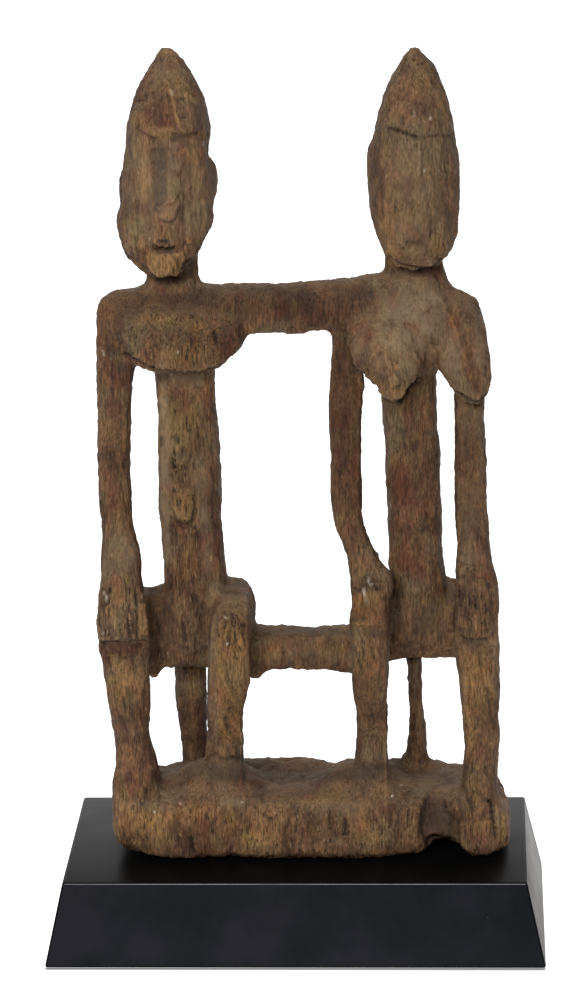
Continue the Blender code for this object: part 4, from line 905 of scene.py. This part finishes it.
def carveMarks(mesh, p, normals, tones):
    x, z = asSeen(p)
    facing = smoothStep(0.05, 0.5, -normals[:, 1])
    front = facing * (1 - smoothStep(6, 12, p[:, 1]))
    back = facing * smoothStep(2, 8, p[:, 1])
    dark = np.zeros(len(x))
    inward = np.zeros(len(x))
    for cx, cz, rx, rz, depth in formAreas:
        inward += depth * spotShare(x, z, cx, cz, rx, rz) * front
    cut = np.zeros(len(x))
    for lines, side in ((cutLines, front), (rearLines, back)):
        for points, half, depth, shade in lines:
            share = lineShare(x, z, points, half) * side
            cut = np.maximum(cut, depth * share)
            dark = np.maximum(dark, shade * share ** 0.8)
    inward += cut
    for points, half, height in raisedLines:
        inward -= height * lineShare(x, z, points, half) * front
    for points, height, soft, tone, strength in steps:
        share = stepShare(x, z, points, soft) * front
        inward -= height * share
        if tone:
            tones[tone] = np.maximum(tones.get(tone, 0), strength * share)
    for points, height, soft, tone, strength, full, gone in aprons:
        share = stepShare(x, z, points, soft) * front * np.clip((z - gone) / (full - gone), 0, 1)
        inward -= height * share
        if tone:
            tones[tone] = np.maximum(tones.get(tone, 0), strength * share)
    storeMask(mesh, "cut", dark)
    return p - normals * inward[:, None]


# Height of each point above its smoothed surroundings: hollows are painted darker as painted shade, edges are
# rubbed
def slackness(mesh, p, normals):
    edges = np.empty(len(mesh.edges) * 2, int)
    mesh.edges.foreach_get("vertices", edges)
    a, b = edges.reshape(-1, 2).T
    count = np.bincount(a, minlength=len(p)) + np.bincount(b, minlength=len(p))
    soft = p.copy()
    for _ in range(14):
        total = np.zeros_like(soft)
        for axis in range(3):
            total[:, axis] = np.bincount(a, soft[b, axis], len(p)) + np.bincount(b, soft[a, axis], len(p))
        soft = 0.4 * soft + 0.6 * total / count[:, None]
    return ((p - soft) * normals).sum(1)


# Geometry Nodes: splits the grain open, roughens the end grain and pits the surface

def weatherTree():
    tree = bpy.data.node_groups.new("weatheredGrain", "GeometryNodeTree")
    face = tree.interface
    face.new_socket(name="Geometry", in_out="INPUT", socket_type="NodeSocketGeometry")
    for name in ("Fibre Depth", "Check Depth", "End Grain Depth", "Pit Depth", "Lump Depth", "Nick Depth"):
        face.new_socket(name=name, in_out="INPUT", socket_type="NodeSocketFloat")
    face.new_socket(name="Wood", in_out="INPUT", socket_type="NodeSocketMaterial")
    face.new_socket(name="Geometry", in_out="OUTPUT", socket_type="NodeSocketGeometry")
    given = addNode(tree, "NodeGroupInput")
    place = addNode(tree, "GeometryNodeInputPosition").outputs[0]
    normal = addNode(tree, "GeometryNodeInputNormal").outputs[0]
    fibres, checks, patches = grainFields(tree, place)[1:]
    split = addNode(tree, "ShaderNodeSeparateXYZ")
    plug(tree, normal, split.inputs[0])
    level = calc(tree, "ABSOLUTE", split.outputs[2])
    endGrain = ramped(tree, level, 0.45, 0.85)
    sideGrain = calc(tree, "SUBTRACT", 1.0, endGrain)
    # long grooves between the fibres, on the sides
    groove = calc(tree, "SUBTRACT", ramped(tree, fibres, 0.30, 0.72), 0.5)
    groove = calc(tree, "MULTIPLY", groove, ramped(tree, patches, 0.40, 0.60, 0.5, 1.0))
    depth = calc(tree, "MULTIPLY", groove, given.outputs["Fibre Depth"])
    depth = calc(tree, "MULTIPLY", depth, sideGrain)
    # splits
    cut = calc(tree, "MULTIPLY", checks, given.outputs["Check Depth"])
    cut = calc(tree, "MULTIPLY", cut, ramped(tree, endGrain, 0.0, 1.0, 1.0, 0.35))
    depth = calc(tree, "ADD", depth, cut)
    # crumbled end grain
    crumble = grainy(tree, stretched(tree, place, (1.0, 1.0, 0.7), (0.2, 0.9, 0.3)), 210.0, 3.0, 0.65)
    crumble = calc(tree, "SUBTRACT", ramped(tree, crumble, 0.32, 0.70), 0.45)
    crumble = calc(tree, "MULTIPLY", crumble, given.outputs["End Grain Depth"])
    depth = calc(tree, "ADD", depth, calc(tree, "MULTIPLY", crumble, endGrain))
    # pits and dents
    pits = grainy(tree, stretched(tree, place, (1.0, 1.0, 0.45), (0.6, 0.1, 0.8)), 150.0, 2.0, 0.5)
    pits = calc(tree, "MULTIPLY", ramped(tree, pits, 0.56, 0.72), given.outputs["Pit Depth"])
    depth = calc(tree, "ADD", depth, pits)
    # broad hollows and swellings of hand carving and wear
    lumps = grainy(tree, stretched(tree, place, (1.0, 1.0, 0.6), (0.4, 0.6, 0.1)), 62.0, 2.0, 0.5)
    lumps = calc(tree, "SUBTRACT", ramped(tree, lumps, 0.30, 0.70), 0.42)
    depth = calc(tree, "ADD", depth, calc(tree, "MULTIPLY", lumps, given.outputs["Lump Depth"]))
    # small nicks that fray the outlines
    nicks = grainy(tree, stretched(tree, place, (1.0, 1.0, 0.8), (0.3, 0.4, 0.9)), 240.0, 2.0, 0.55)
    nicks = calc(tree, "SUBTRACT", ramped(tree, nicks, 0.36, 0.66), 0.5)
    depth = calc(tree, "ADD", depth, calc(tree, "MULTIPLY", nicks, given.outputs["Nick Depth"]))
    back = addNode(tree, "ShaderNodeVectorMath", operation="SCALE")
    plug(tree, normal, back.inputs[0])
    plug(tree, calc(tree, "MULTIPLY", depth, -1.0), back.inputs["Scale"])
    move = addNode(tree, "GeometryNodeSetPosition")
    plug(tree, given.outputs["Geometry"], move.inputs["Geometry"])
    plug(tree, back.outputs[0], move.inputs["Offset"])
    keep = addNode(tree, "GeometryNodeStoreNamedAttribute", data_type="FLOAT", domain="POINT")
    plug(tree, move.outputs[0], keep.inputs["Geometry"])
    keep.inputs["Name"].default_value = "endGrain"
    plug(tree, endGrain, keep.inputs["Value"])
    real = addNode(tree, "GeometryNodeRealizeInstances")
    plug(tree, keep.outputs[0], real.inputs[0])
    paint = addNode(tree, "GeometryNodeSetMaterial")
    plug(tree, real.outputs[0], paint.inputs["Geometry"])
    plug(tree, given.outputs["Wood"], paint.inputs["Material"])
    out = addNode(tree, "NodeGroupOutput")
    plug(tree, paint.outputs[0], out.inputs[0])
    return tree


# Fewer triangles where the surface is calm
def thinOut(thing, most):
    thing.data.calc_loop_triangles()
    count = len(thing.data.loop_triangles)
    if count > most:
        rear = thing.vertex_groups.new(name="rear")
        share = smoothStep(-0.6, 0.6, readMesh(thing.data, "normal")[:, 1])
        for step in range(5):
            chosen = np.flatnonzero((share * 4.999).astype(int) == step)
            weight = coupleLook["rearShare"] + (1 - coupleLook["rearShare"]) * step / 4
            rear.add(chosen.tolist(), weight, "REPLACE")
        fewer = thing.modifiers.new("fewer", "DECIMATE")
        fewer.ratio = most / count
        fewer.vertex_group = "rear"
        fewer.vertex_group_factor = 0.002
        old = thing.data
        mesh = settledMesh(thing, old.name)
        thing.modifiers.remove(fewer)
        thing.vertex_groups.clear()
        thing.data = mesh
        bpy.data.meshes.remove(old)


def applyTree(thing, tree, values, name):
    modifier = thing.modifiers.new(tree.name, "NODES")
    modifier.node_group = tree
    for socket in tree.interface.items_tree:
        if socket.in_out == "INPUT" and socket.name in values:
            modifier[socket.identifier] = values[socket.name]
    mesh = settledMesh(thing, name)
    thing.modifiers.remove(modifier)
    return mesh


woodLook = {
    "dark": srgb(78, 53, 37),
    "middle": srgb(118, 87, 58),
    "olive": srgb(115, 98, 71),
    "ochre": srgb(154, 117, 68),
    "red": srgb(98, 57, 37),
    "dust": srgb(136, 116, 91),
    "sootAndShadeColour": srgb(62, 54, 46),
    "split": srgb(24, 16, 11),
    "rib": srgb(178, 144, 100),
    "handledShadeColour": (0.52, 0.43, 0.37, 1.0),
    "far": (0.40, 0.36, 0.42, 1.0),
    "mossy": (0.93, 1.01, 0.88, 1.0),
    "plum": (1.02, 0.91, 1.0, 1.0),
    "lighterAndLit": (1.36, 1.34, 1.30, 1.0),
    "shade": (0.50, 0.48, 0.50, 1.0),
    "sideShade": 0.6,
    "fleckAndGlint": srgb(214, 200, 176),
    "roughness": 0.80,
    "glint": 0.32,
    "specular": 0.35,
    "bump": 0.0006,
    "bumpStrength": 0.9,
}


def woodMaterial(look):
    material = bpy.data.materials.new("weatheredWood")
    material.use_nodes = True
    tree = material.node_tree
    shader = tree.nodes["Principled BSDF"]
    place = addNode(tree, "ShaderNodeTexCoord").outputs["Object"]
    bent, fibres, checks = grainFields(tree, place)[:3]

    def mask(name):
        return addNode(tree, "ShaderNodeAttribute", attribute_name=name).outputs["Fac"]

    def blotch(scale, stretch, shift, low, high, detail=4.0):
        field = grainy(tree, stretched(tree, bent, (1.0, 1.0, stretch), shift), scale, detail, 0.62)
        return ramped(tree, field, low, high)

    hairs = grainy(tree, stretched(tree, bent, (1.0, 1.0, 0.15)), 1150.0, 2.0, 0.65)
    opened = mask("open")
    slits = grainy(tree, stretched(tree, bent, (1.0, 1.0, 0.13), (0.4, 0.7, 0.9)), 800.0, 2.0, 0.5)
    slits = calc(tree, "ADD", slits, calc(tree, "MULTIPLY", opened, 0.095))
    slits = ramped(tree, slits, 0.665, 0.715)
    ribs = grainy(tree, stretched(tree, bent, (1.0, 1.0, 0.13), (0.8, 0.2, 0.1)), 900.0, 2.0, 0.5)
    ribs = calc(tree, "ADD", ribs, calc(tree, "MULTIPLY", opened, 0.09))
    ribs = ramped(tree, ribs, 0.65, 0.72)
    specks = grainy(tree, stretched(tree, bent, (1.0, 1.0, 0.5), (0.5, 0.1, 0.3)), 620.0, 2.0, 0.6)
    colour = mixColour(tree, blotch(80.0, 0.5, (0.1, 0.8, 0.6), 0.36, 0.60), look["dark"], look["middle"])
    olive = calc(tree, "MULTIPLY", blotch(55.0, 0.6, (0.9, 0.3, 0.2), 0.46, 0.64), 0.65)
    colour = mixColour(tree, olive, colour, look["olive"])
    redness = calc(tree, "MULTIPLY", blotch(70.0, 0.5, (0.2, 0.5, 0.7), 0.50, 0.64), 0.65)
    colour = mixColour(tree, redness, colour, look["red"])
    golden = calc(tree, "MULTIPLY", blotch(95.0, 0.45, (0.6, 0.9, 0.4), 0.54, 0.72), 0.36)
    colour = mixColour(tree, golden, colour, look["ochre"])
    colour = mixColour(tree, calc(tree, "MULTIPLY", mask("reddish"), 0.75), colour, look["red"])
    colour = mixColour(tree, calc(tree, "MULTIPLY", mask("golden"), 0.6), colour, look["ochre"])
    mossy = blotch(150.0, 0.5, (0.7, 0.4, 0.5), 0.46, 0.66)
    colour = mixColour(tree, mossy, colour, look["mossy"], "MULTIPLY")
    plum = blotch(130.0, 0.5, (0.1, 0.9, 0.3), 0.46, 0.66)
    colour = mixColour(tree, plum, colour, look["plum"], "MULTIPLY")
    # dust lies on what faces up and where the masks say so
    split = addNode(tree, "ShaderNodeSeparateXYZ")
    plug(tree, addNode(tree, "ShaderNodeNewGeometry").outputs["Normal"], split.inputs[0])
    lying = calc(tree, "MULTIPLY", ramped(tree, split.outputs[2], 0.15, 0.95), 0.45)
    lying = calc(tree, "MAXIMUM", lying, mask("dusty"))
    film = calc(tree, "MULTIPLY", lying, blotch(140.0, 0.8, (0.3, 0.3, 0.8), 0.24, 0.56, 3.0))
    # lighter and darker fibres
    tone = ramped(tree, hairs, 0.32, 0.68, 0.64, 1.42)
    tone = calc(tree, "MULTIPLY", tone, ramped(tree, fibres, 0.30, 0.70, 1.11, 0.89))
    tone = calc(tree, "MULTIPLY", tone, ramped(tree, specks, 0.30, 0.70, 0.82, 1.20))
    toned = addNode(tree, "ShaderNodeVectorMath", operation="SCALE")
    plug(tree, colour, toned.inputs[0])
    plug(tree, tone, toned.inputs["Scale"])
    colour = toned.outputs[0]
    rubbed = calc(tree, "MULTIPLY", mask("rubbed"), ramped(tree, specks, 0.35, 0.65, 0.1, 0.34))
    colour = mixColour(tree, rubbed, colour, look["rib"])
    colour = mixColour(tree, calc(tree, "MULTIPLY", ribs, 0.5), colour, look["rib"])
    slitTone = ramped(tree, opened, 0.0, 1.0, 0.55, 0.8)
    deep = calc(tree, "MAXIMUM", calc(tree, "MULTIPLY", checks, 0.5), calc(tree, "MULTIPLY", slits, slitTone))
    colour = mixColour(tree, deep, colour, look["split"])
    # dust, soot and handling lie over the fibres, together with painted shade and painted light
    colour = mixColour(tree, calc(tree, "MULTIPLY", film, 0.72), colour, look["dust"])
    # soot darkens the wood, and the same mask paints shade in the mouth, under the jaws and chins, in the
    # block's notch and under the seat
    colour = mixColour(tree, calc(tree, "MULTIPLY", mask("sootAndShade"), 0.66), colour, look["sootAndShadeColour"])
    # hollows are painted darker: painted shade in the creases
    colour = mixColour(tree, calc(tree, "MULTIPLY", mask("hollow"), 0.5), colour, look["dark"])
    # handled wood is darker, and the same mask paints shade under the chest, the breasts and the hands,
    # between the arms and bodies and under the seat
    colour = mixColour(tree, mask("handledAndShade"), colour, look["handledShadeColour"], "MULTIPLY")
    colour = mixColour(tree, mask("behind"), colour, look["far"], "MULTIPLY")
    # lighter areas: paler wood, and painted light along lit faces such as the breast's edge and the faces
    colour = mixColour(tree, mask("lighter"), colour, look["lighterAndLit"], "MULTIPLY")
    sideways = ramped(tree, calc(tree, "ABSOLUTE", split.outputs[0]), 0.62, 0.98, 0.0, look["sideShade"])
    colour = mixColour(tree, sideways, colour, look["shade"], "MULTIPLY")
    # cut lines darken to the split colour: cracks, and painted shadow in the undercuts
    colour = mixColour(tree, mask("cut"), colour, look["split"])
    # pale flecks: broken fibre, and painted glints
    colour = mixColour(tree, calc(tree, "MULTIPLY", mask("pale"), 0.75), colour, look["fleckAndGlint"])
    plug(tree, colour, shader.inputs["Base Color"])
    # a few polished fibres catch the light
    shine = ramped(tree, grainy(tree, stretched(tree, bent, (1.0, 1.0, 0.25)), 560.0, 1.0), 0.70, 0.75)
    shine = calc(tree, "MAXIMUM", shine, mask("pale"))
    plug(tree, ramped(tree, shine, 0.0, 1.0, look["roughness"], look["glint"]), shader.inputs["Roughness"])
    shader.inputs["Specular IOR Level"].default_value = look["specular"]
    fine = calc(tree, "MULTIPLY", hairs, 0.8)
    fine = calc(tree, "ADD", fine, calc(tree, "MULTIPLY", specks, 0.7))
    fine = calc(tree, "SUBTRACT", fine, calc(tree, "MULTIPLY", checks, 0.8))
    fine = calc(tree, "SUBTRACT", fine, calc(tree, "MULTIPLY", slits, 1.2))
    fine = calc(tree, "ADD", fine, calc(tree, "MULTIPLY", ribs, 0.7))
    bump = addNode(tree, "ShaderNodeBump")
    bump.inputs["Strength"].default_value = look["bumpStrength"]
    bump.inputs["Distance"].default_value = look["bump"]
    plug(tree, fine, bump.inputs["Height"])
    plug(tree, bump.outputs[0], shader.inputs["Normal"])
    return material


def paintMasks(mesh, p, normals, hollow, tones):
    x, z = asSeen(p)
    front = smoothStep(0.0, 0.4, -normals[:, 1]) * (1 - smoothStep(8, 14, p[:, 1]))
    upper = smoothStep(0.3, 0.8, normals[:, 2])
    for name, spots in areas.items():
        mask = np.zeros(len(x))
        for cx, cz, rx, rz, strength in spots:
            share = np.exp(-(((x - cx) / rx) ** 2 + ((z - cz) / rz) ** 2))
            mask = np.maximum(mask, strength * share)
        storeMask(mesh, name, np.maximum(mask * np.maximum(front, upper), tones.get(name, 0)))
    storeMask(mesh, "open", tones["open"])
    # the rear posts stand in the shade and stay dark
    rear = smoothStep(8, 18, p[:, 1]) * (1 - smoothStep(116, 124, p[:, 2])) * smoothStep(38, 46, p[:, 2])
    storeMask(mesh, "behind", rear * (1 - 0.75 * smoothStep(0, 20, p[:, 0])))
    pale = np.zeros(len(x))
    for cx, cz, rx, rz in flecksAndGlints:
        pale = np.maximum(pale, spotShare(x, z, cx, cz, rx, rz) * front)
    storeMask(mesh, "pale", pale)
    storeMask(mesh, "hollow", smoothStep(0.25, 1.6, -hollow))
    storeMask(mesh, "rubbed", smoothStep(0.2, 1.3, hollow))


def makeCouple(wood):
    couple = fineCopy("seated_couple", "carvedCouple", coupleLook)
    mesh = couple.data
    p = toMm(readMesh(mesh))
    p = pullOutlines(planeBodies(p))
    writeMesh(mesh, fromMm(p))
    normals = readMesh(mesh, "normal")
    tones = {}
    p = carveMarks(mesh, p, normals, tones)
    writeMesh(mesh, fromMm(p))
    normals = readMesh(mesh, "normal")
    hollow = slackness(mesh, p, normals)
    paintMasks(mesh, p, normals, hollow, tones)
    values = {
        "Fibre Depth": coupleLook["fibreDepth"],
        "Check Depth": coupleLook["checkDepth"],
        "End Grain Depth": coupleLook["endGrainDepth"],
        "Pit Depth": coupleLook["pitDepth"],
        "Lump Depth": coupleLook["lumpDepth"],
        "Nick Depth": coupleLook["nickDepth"],
        "Wood": wood,
    }
    old = couple.data
    couple.data = applyTree(couple, weatherTree(), values, "carvedCouple")
    bpy.data.meshes.remove(old)
    thinOut(couple, coupleLook["triangles"])
    # nothing sinks into the stand or rises over the solid's top
    low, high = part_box("seated_couple")
    places = readMesh(couple.data)
    places[:, 2] = np.clip(places[:, 2], low.z, high.z)
    writeMesh(couple.data, places)
    couple.data.shade_smooth()
    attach(couple, "root")
    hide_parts("seated_couple")
    return couple


standLook = {
    "sides": srgb(31, 31, 37),
    "cloudy": srgb(21, 24, 27),
    "ends": srgb(64, 60, 55),
    "top": srgb(11, 11, 11),
    "worn": srgb(150, 150, 156),
    "corner": srgb(9, 9, 14),
    "gloss": 0.32,
    "sideGloss": 0.46,
    "endGloss": 0.36,
    "edge": 0.0012,
    "foot": 0.0016,
    "wider": 0.0006,
    "specular": 0.05,
    "bump": 0.00003,
    "bumpStrength": 0.6,
}


def lacquerMaterial(look):
    material = bpy.data.materials.new("blackLacquer")
    material.use_nodes = True
    tree = material.node_tree
    shader = tree.nodes["Principled BSDF"]
    place = addNode(tree, "ShaderNodeTexCoord").outputs["Object"]
    cloud = grainy(tree, place, 22.0, 4.0, 0.6)
    colour = mixColour(tree, ramped(tree, cloud, 0.35, 0.65), look["sides"], look["cloudy"])
    split = addNode(tree, "ShaderNodeSeparateXYZ")
    plug(tree, addNode(tree, "ShaderNodeNewGeometry").outputs["Normal"], split.inputs[0])
    # painted shade: faces that look up are painted darker
    upward = ramped(tree, split.outputs[2], 0.6, 0.98)
    colour = mixColour(tree, upward, colour, look["top"])
    # painted reflection: faces that look sideways are painted lighter
    sideways = ramped(tree, calc(tree, "ABSOLUTE", split.outputs[0]), 0.85, 0.97)
    colour = mixColour(tree, sideways, colour, look["ends"])
    # the rounded edge gets a thin light line, a painted highlight
    worn = ramped(tree, split.outputs[2], 0.40, 0.48)
    worn = calc(tree, "MULTIPLY", worn, ramped(tree, split.outputs[2], 0.54, 0.66, 1.0, 0.0))
    worn = calc(tree, "MULTIPLY", worn, ramped(tree, cloud, 0.35, 0.6, 0.5, 0.9))
    colour = mixColour(tree, worn, colour, look["worn"])
    # painted shade: the slanted corners between the faces are painted darker
    corner = calc(tree, "ABSOLUTE", split.outputs[0])
    inner = ramped(tree, corner, 0.08, 0.2)
    corner = calc(tree, "MULTIPLY", inner, ramped(tree, corner, 0.7, 0.85, 1.0, 0.0))
    colour = mixColour(tree, corner, colour, look["corner"])
    specks = addNode(tree, "ShaderNodeTexVoronoi", feature="F1")
    plug(tree, place, specks.inputs["Vector"])
    specks.inputs["Scale"].default_value = 130.0
    chosen = addNode(tree, "ShaderNodeSeparateColor")
    plug(tree, specks.outputs["Color"], chosen.inputs[0])
    dots = calc(tree, "LESS_THAN", specks.outputs["Distance"], 0.045)
    dots = calc(tree, "MULTIPLY", dots, calc(tree, "GREATER_THAN", chosen.outputs[0], 0.93))
    colour = mixColour(tree, calc(tree, "MULTIPLY", dots, 0.5), colour, srgb(190, 188, 184))
    plug(tree, colour, shader.inputs["Base Color"])
    fine = grainy(tree, place, 900.0, 2.0, 0.6)
    smear = grainy(tree, stretched(tree, place, (1.0, 2.5, 2.5)), 22.0, 3.0, 0.6)
    gloss = ramped(tree, sideways, 0.0, 1.0, look["sideGloss"], look["endGloss"])
    gloss = ramped(tree, upward, 0.0, 1.0, gloss, look["gloss"])
    rough = calc(tree, "ADD", gloss, ramped(tree, smear, 0.3, 0.7, -0.02, 0.05))
    plug(tree, rough, shader.inputs["Roughness"])
    shader.inputs["Specular IOR Level"].default_value = look["specular"]
    bump = addNode(tree, "ShaderNodeBump")
    bump.inputs["Strength"].default_value = look["bumpStrength"]
    bump.inputs["Distance"].default_value = look["bump"]
    plug(tree, fine, bump.inputs["Height"])
    plug(tree, bump.outputs[0], shader.inputs["Normal"])
    return material


def makeStand(look):
    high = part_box("stand")[1]
    source = readMesh(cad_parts["stand"].data)
    top = source[source[:, 2] > high.z - 1e-5]
    grow = look["edge"] * 0.7 + look["wider"]
    topX, topY = np.abs(top[:, 0]).max() + grow, np.abs(top[:, 1]).max() + grow
    work = bmesh.new()
    bmesh.ops.create_cube(work, size=2)
    for corner in work.verts:
        upper = corner.co.z > 0
        corner.co.x = math.copysign(topX if upper else high.x, corner.co.x)
        corner.co.y = math.copysign(topY if upper else high.y, corner.co.y)
        corner.co.z = high.z if upper else 0
    bmesh.ops.recalc_face_normals(work, faces=work.faces)
    feet = [e for e in work.edges if all(v.co.z < 0.001 for v in e.verts)]
    bmesh.ops.bevel(work, geom=feet, offset=look["foot"], segments=4, profile=0.5, affect="EDGES")
    sharp = [e for e in work.edges if e.calc_face_angle() > 0.9]
    bmesh.ops.bevel(work, geom=sharp, offset=look["edge"], segments=4, profile=0.5, affect="EDGES")
    bmesh.ops.recalc_face_normals(work, faces=work.faces)
    mesh = bpy.data.meshes.new("blackStand")
    work.to_mesh(mesh)
    work.free()
    stand = newObject("blackStand", mesh)
    mesh.shade_smooth()
    mesh.set_sharp_from_angle(angle=math.radians(32))
    mesh.materials.append(lacquerMaterial(look))
    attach(stand, "root")
    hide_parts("stand")
    return stand


stageLook = {
    "floor": srgb(238, 238, 238),
    "shaded": srgb(120, 122, 124),
    "shade": 0.0045,
    "glow": 1.0,
    "reach": 6.0,
    "front": 0.24,
    "wall": 3.8,
    "curve": 1.6,
    "top": 9.6,
    "roomLight": 0.10,
}


def makeStage(look):
    reach, curve, wall = look["reach"], look["curve"], look["wall"]
    profile = [(-look["front"], 0.0), (wall, 0.0)]
    for k in range(1, 13):
        turn = math.pi / 2 * k / 12
        profile.append((wall + curve * math.sin(turn), curve * (1 - math.cos(turn))))
    profile.append((wall + curve, look["top"]))
    work = bmesh.new()
    rows = [[work.verts.new((side * reach, y, z)) for side in (-1, 1)] for y, z in profile]
    for first, second in zip(rows, rows[1:]):
        work.faces.new((first[0], first[1], second[1], second[0]))
    mesh = bpy.data.meshes.new("backdrop")
    work.to_mesh(mesh)
    work.free()
    mesh.shade_smooth()
    backdrop = newObject("backdrop", mesh)
    material = bpy.data.materials.new("paleBackdrop")
    material.use_nodes = True
    shader = material.node_tree.nodes["Principled BSDF"]
    shader.inputs["Roughness"].default_value = 0.9
    shader.inputs["Specular IOR Level"].default_value = 0.1
    shader.inputs["Emission Color"].default_value = (1, 1, 1, 1)
    # the glow dims close to the stand, a painted shadow on the floor
    tree = material.node_tree
    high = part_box("stand")[1]
    split = addNode(tree, "ShaderNodeSeparateXYZ")
    plug(tree, addNode(tree, "ShaderNodeTexCoord").outputs["Object"], split.inputs[0])
    away = calc(tree, "SUBTRACT", calc(tree, "MULTIPLY", split.outputs[1], -1.0), high.y)
    near = ramped(tree, away, 0.0, look["shade"], 1.0, 0.0)
    near = calc(tree, "MULTIPLY", near, calc(tree, "GREATER_THAN", away, -0.001))
    beside = calc(tree, "SUBTRACT", calc(tree, "ABSOLUTE", split.outputs[0]), high.x)
    near = calc(tree, "MULTIPLY", near, ramped(tree, beside, -0.002, 0.002, 1.0, 0.0))
    plug(tree, ramped(tree, near, 0.0, 1.0, look["glow"], 0.1), shader.inputs["Emission Strength"])
    plug(tree, mixColour(tree, near, look["floor"], look["shaded"]), shader.inputs["Base Color"])
    mesh.materials.append(material)


# Lights: name, place, aimed at, size, watts
lights = [
    ("keyLight", (-0.5, -1.6, 1.25), (0, 0, 0.28), (0.8, 0.7), 27),
    ("fillLight", (1.5, -1.6, 0.9), (0, 0, 0.25), (1.0, 1.2), 5),
    ("topLight", (-0.1, -0.2, 2.2), (0, 0, 0.2), (1.4, 1.0), 5),
]


def makeLights(look):
    for name, place, aim, size, watts in lights:
        lamp = bpy.data.lights.new(name, "AREA")
        lamp.shape = "RECTANGLE"
        lamp.size, lamp.size_y = size
        lamp.energy = watts
        thing = newObject(name, lamp)
        thing.location = place
        thing.rotation_euler = (Vector(aim) - Vector(place)).to_track_quat("-Z", "Y").to_euler()
    # the room looks white to the camera and lights the couple only weakly
    world = bpy.data.worlds.new("paleRoom")
    world.use_nodes = True
    world.node_tree.nodes["Background"].inputs["Color"].default_value = (1, 1, 1, 1)
    seen = addNode(world.node_tree, "ShaderNodeLightPath").outputs["Is Camera Ray"]
    strength = ramped(world.node_tree, seen, 0.0, 1.0, look["roomLight"], 1.0)
    plug(world.node_tree, strength, world.node_tree.nodes["Background"].inputs["Strength"])
    bpy.context.scene.world = world


def makeCamera(look):
    down, turn, tilt = (math.radians(look[k]) for k in ("down", "turn", "tilt"))
    forward = Vector((-math.sin(turn) * math.cos(down), math.cos(turn) * math.cos(down), -math.sin(down)))
    right = Vector((math.cos(turn), math.sin(turn), 0))
    up = right.cross(forward)
    across = math.cos(tilt) * right + math.sin(tilt) * up
    over = -math.sin(tilt) * right + math.cos(tilt) * up
    place = Matrix((across, over, -forward)).transposed().to_4x4()
    place.translation = Vector(look["place"])
    lens = bpy.data.cameras.new("camera")
    lens.sensor_width = 36.0
    lens.lens = look["lens"]
    lens.clip_end = 50
    camera = newObject("camera", lens)
    camera.matrix_world = place
    bpy.context.scene.camera = camera


bpy.context.scene.view_settings.view_transform = "Standard"
makeStage(stageLook)
makeLights(stageLook)
makeCamera(cameraLook)
print("stage, lights and camera placed")
makeStand(standLook)
print("stand made")
couple = makeCouple(woodMaterial(woodLook))
couple.data.calc_loop_triangles()
print("couple carved:", len(couple.data.loop_triangles), "triangles")
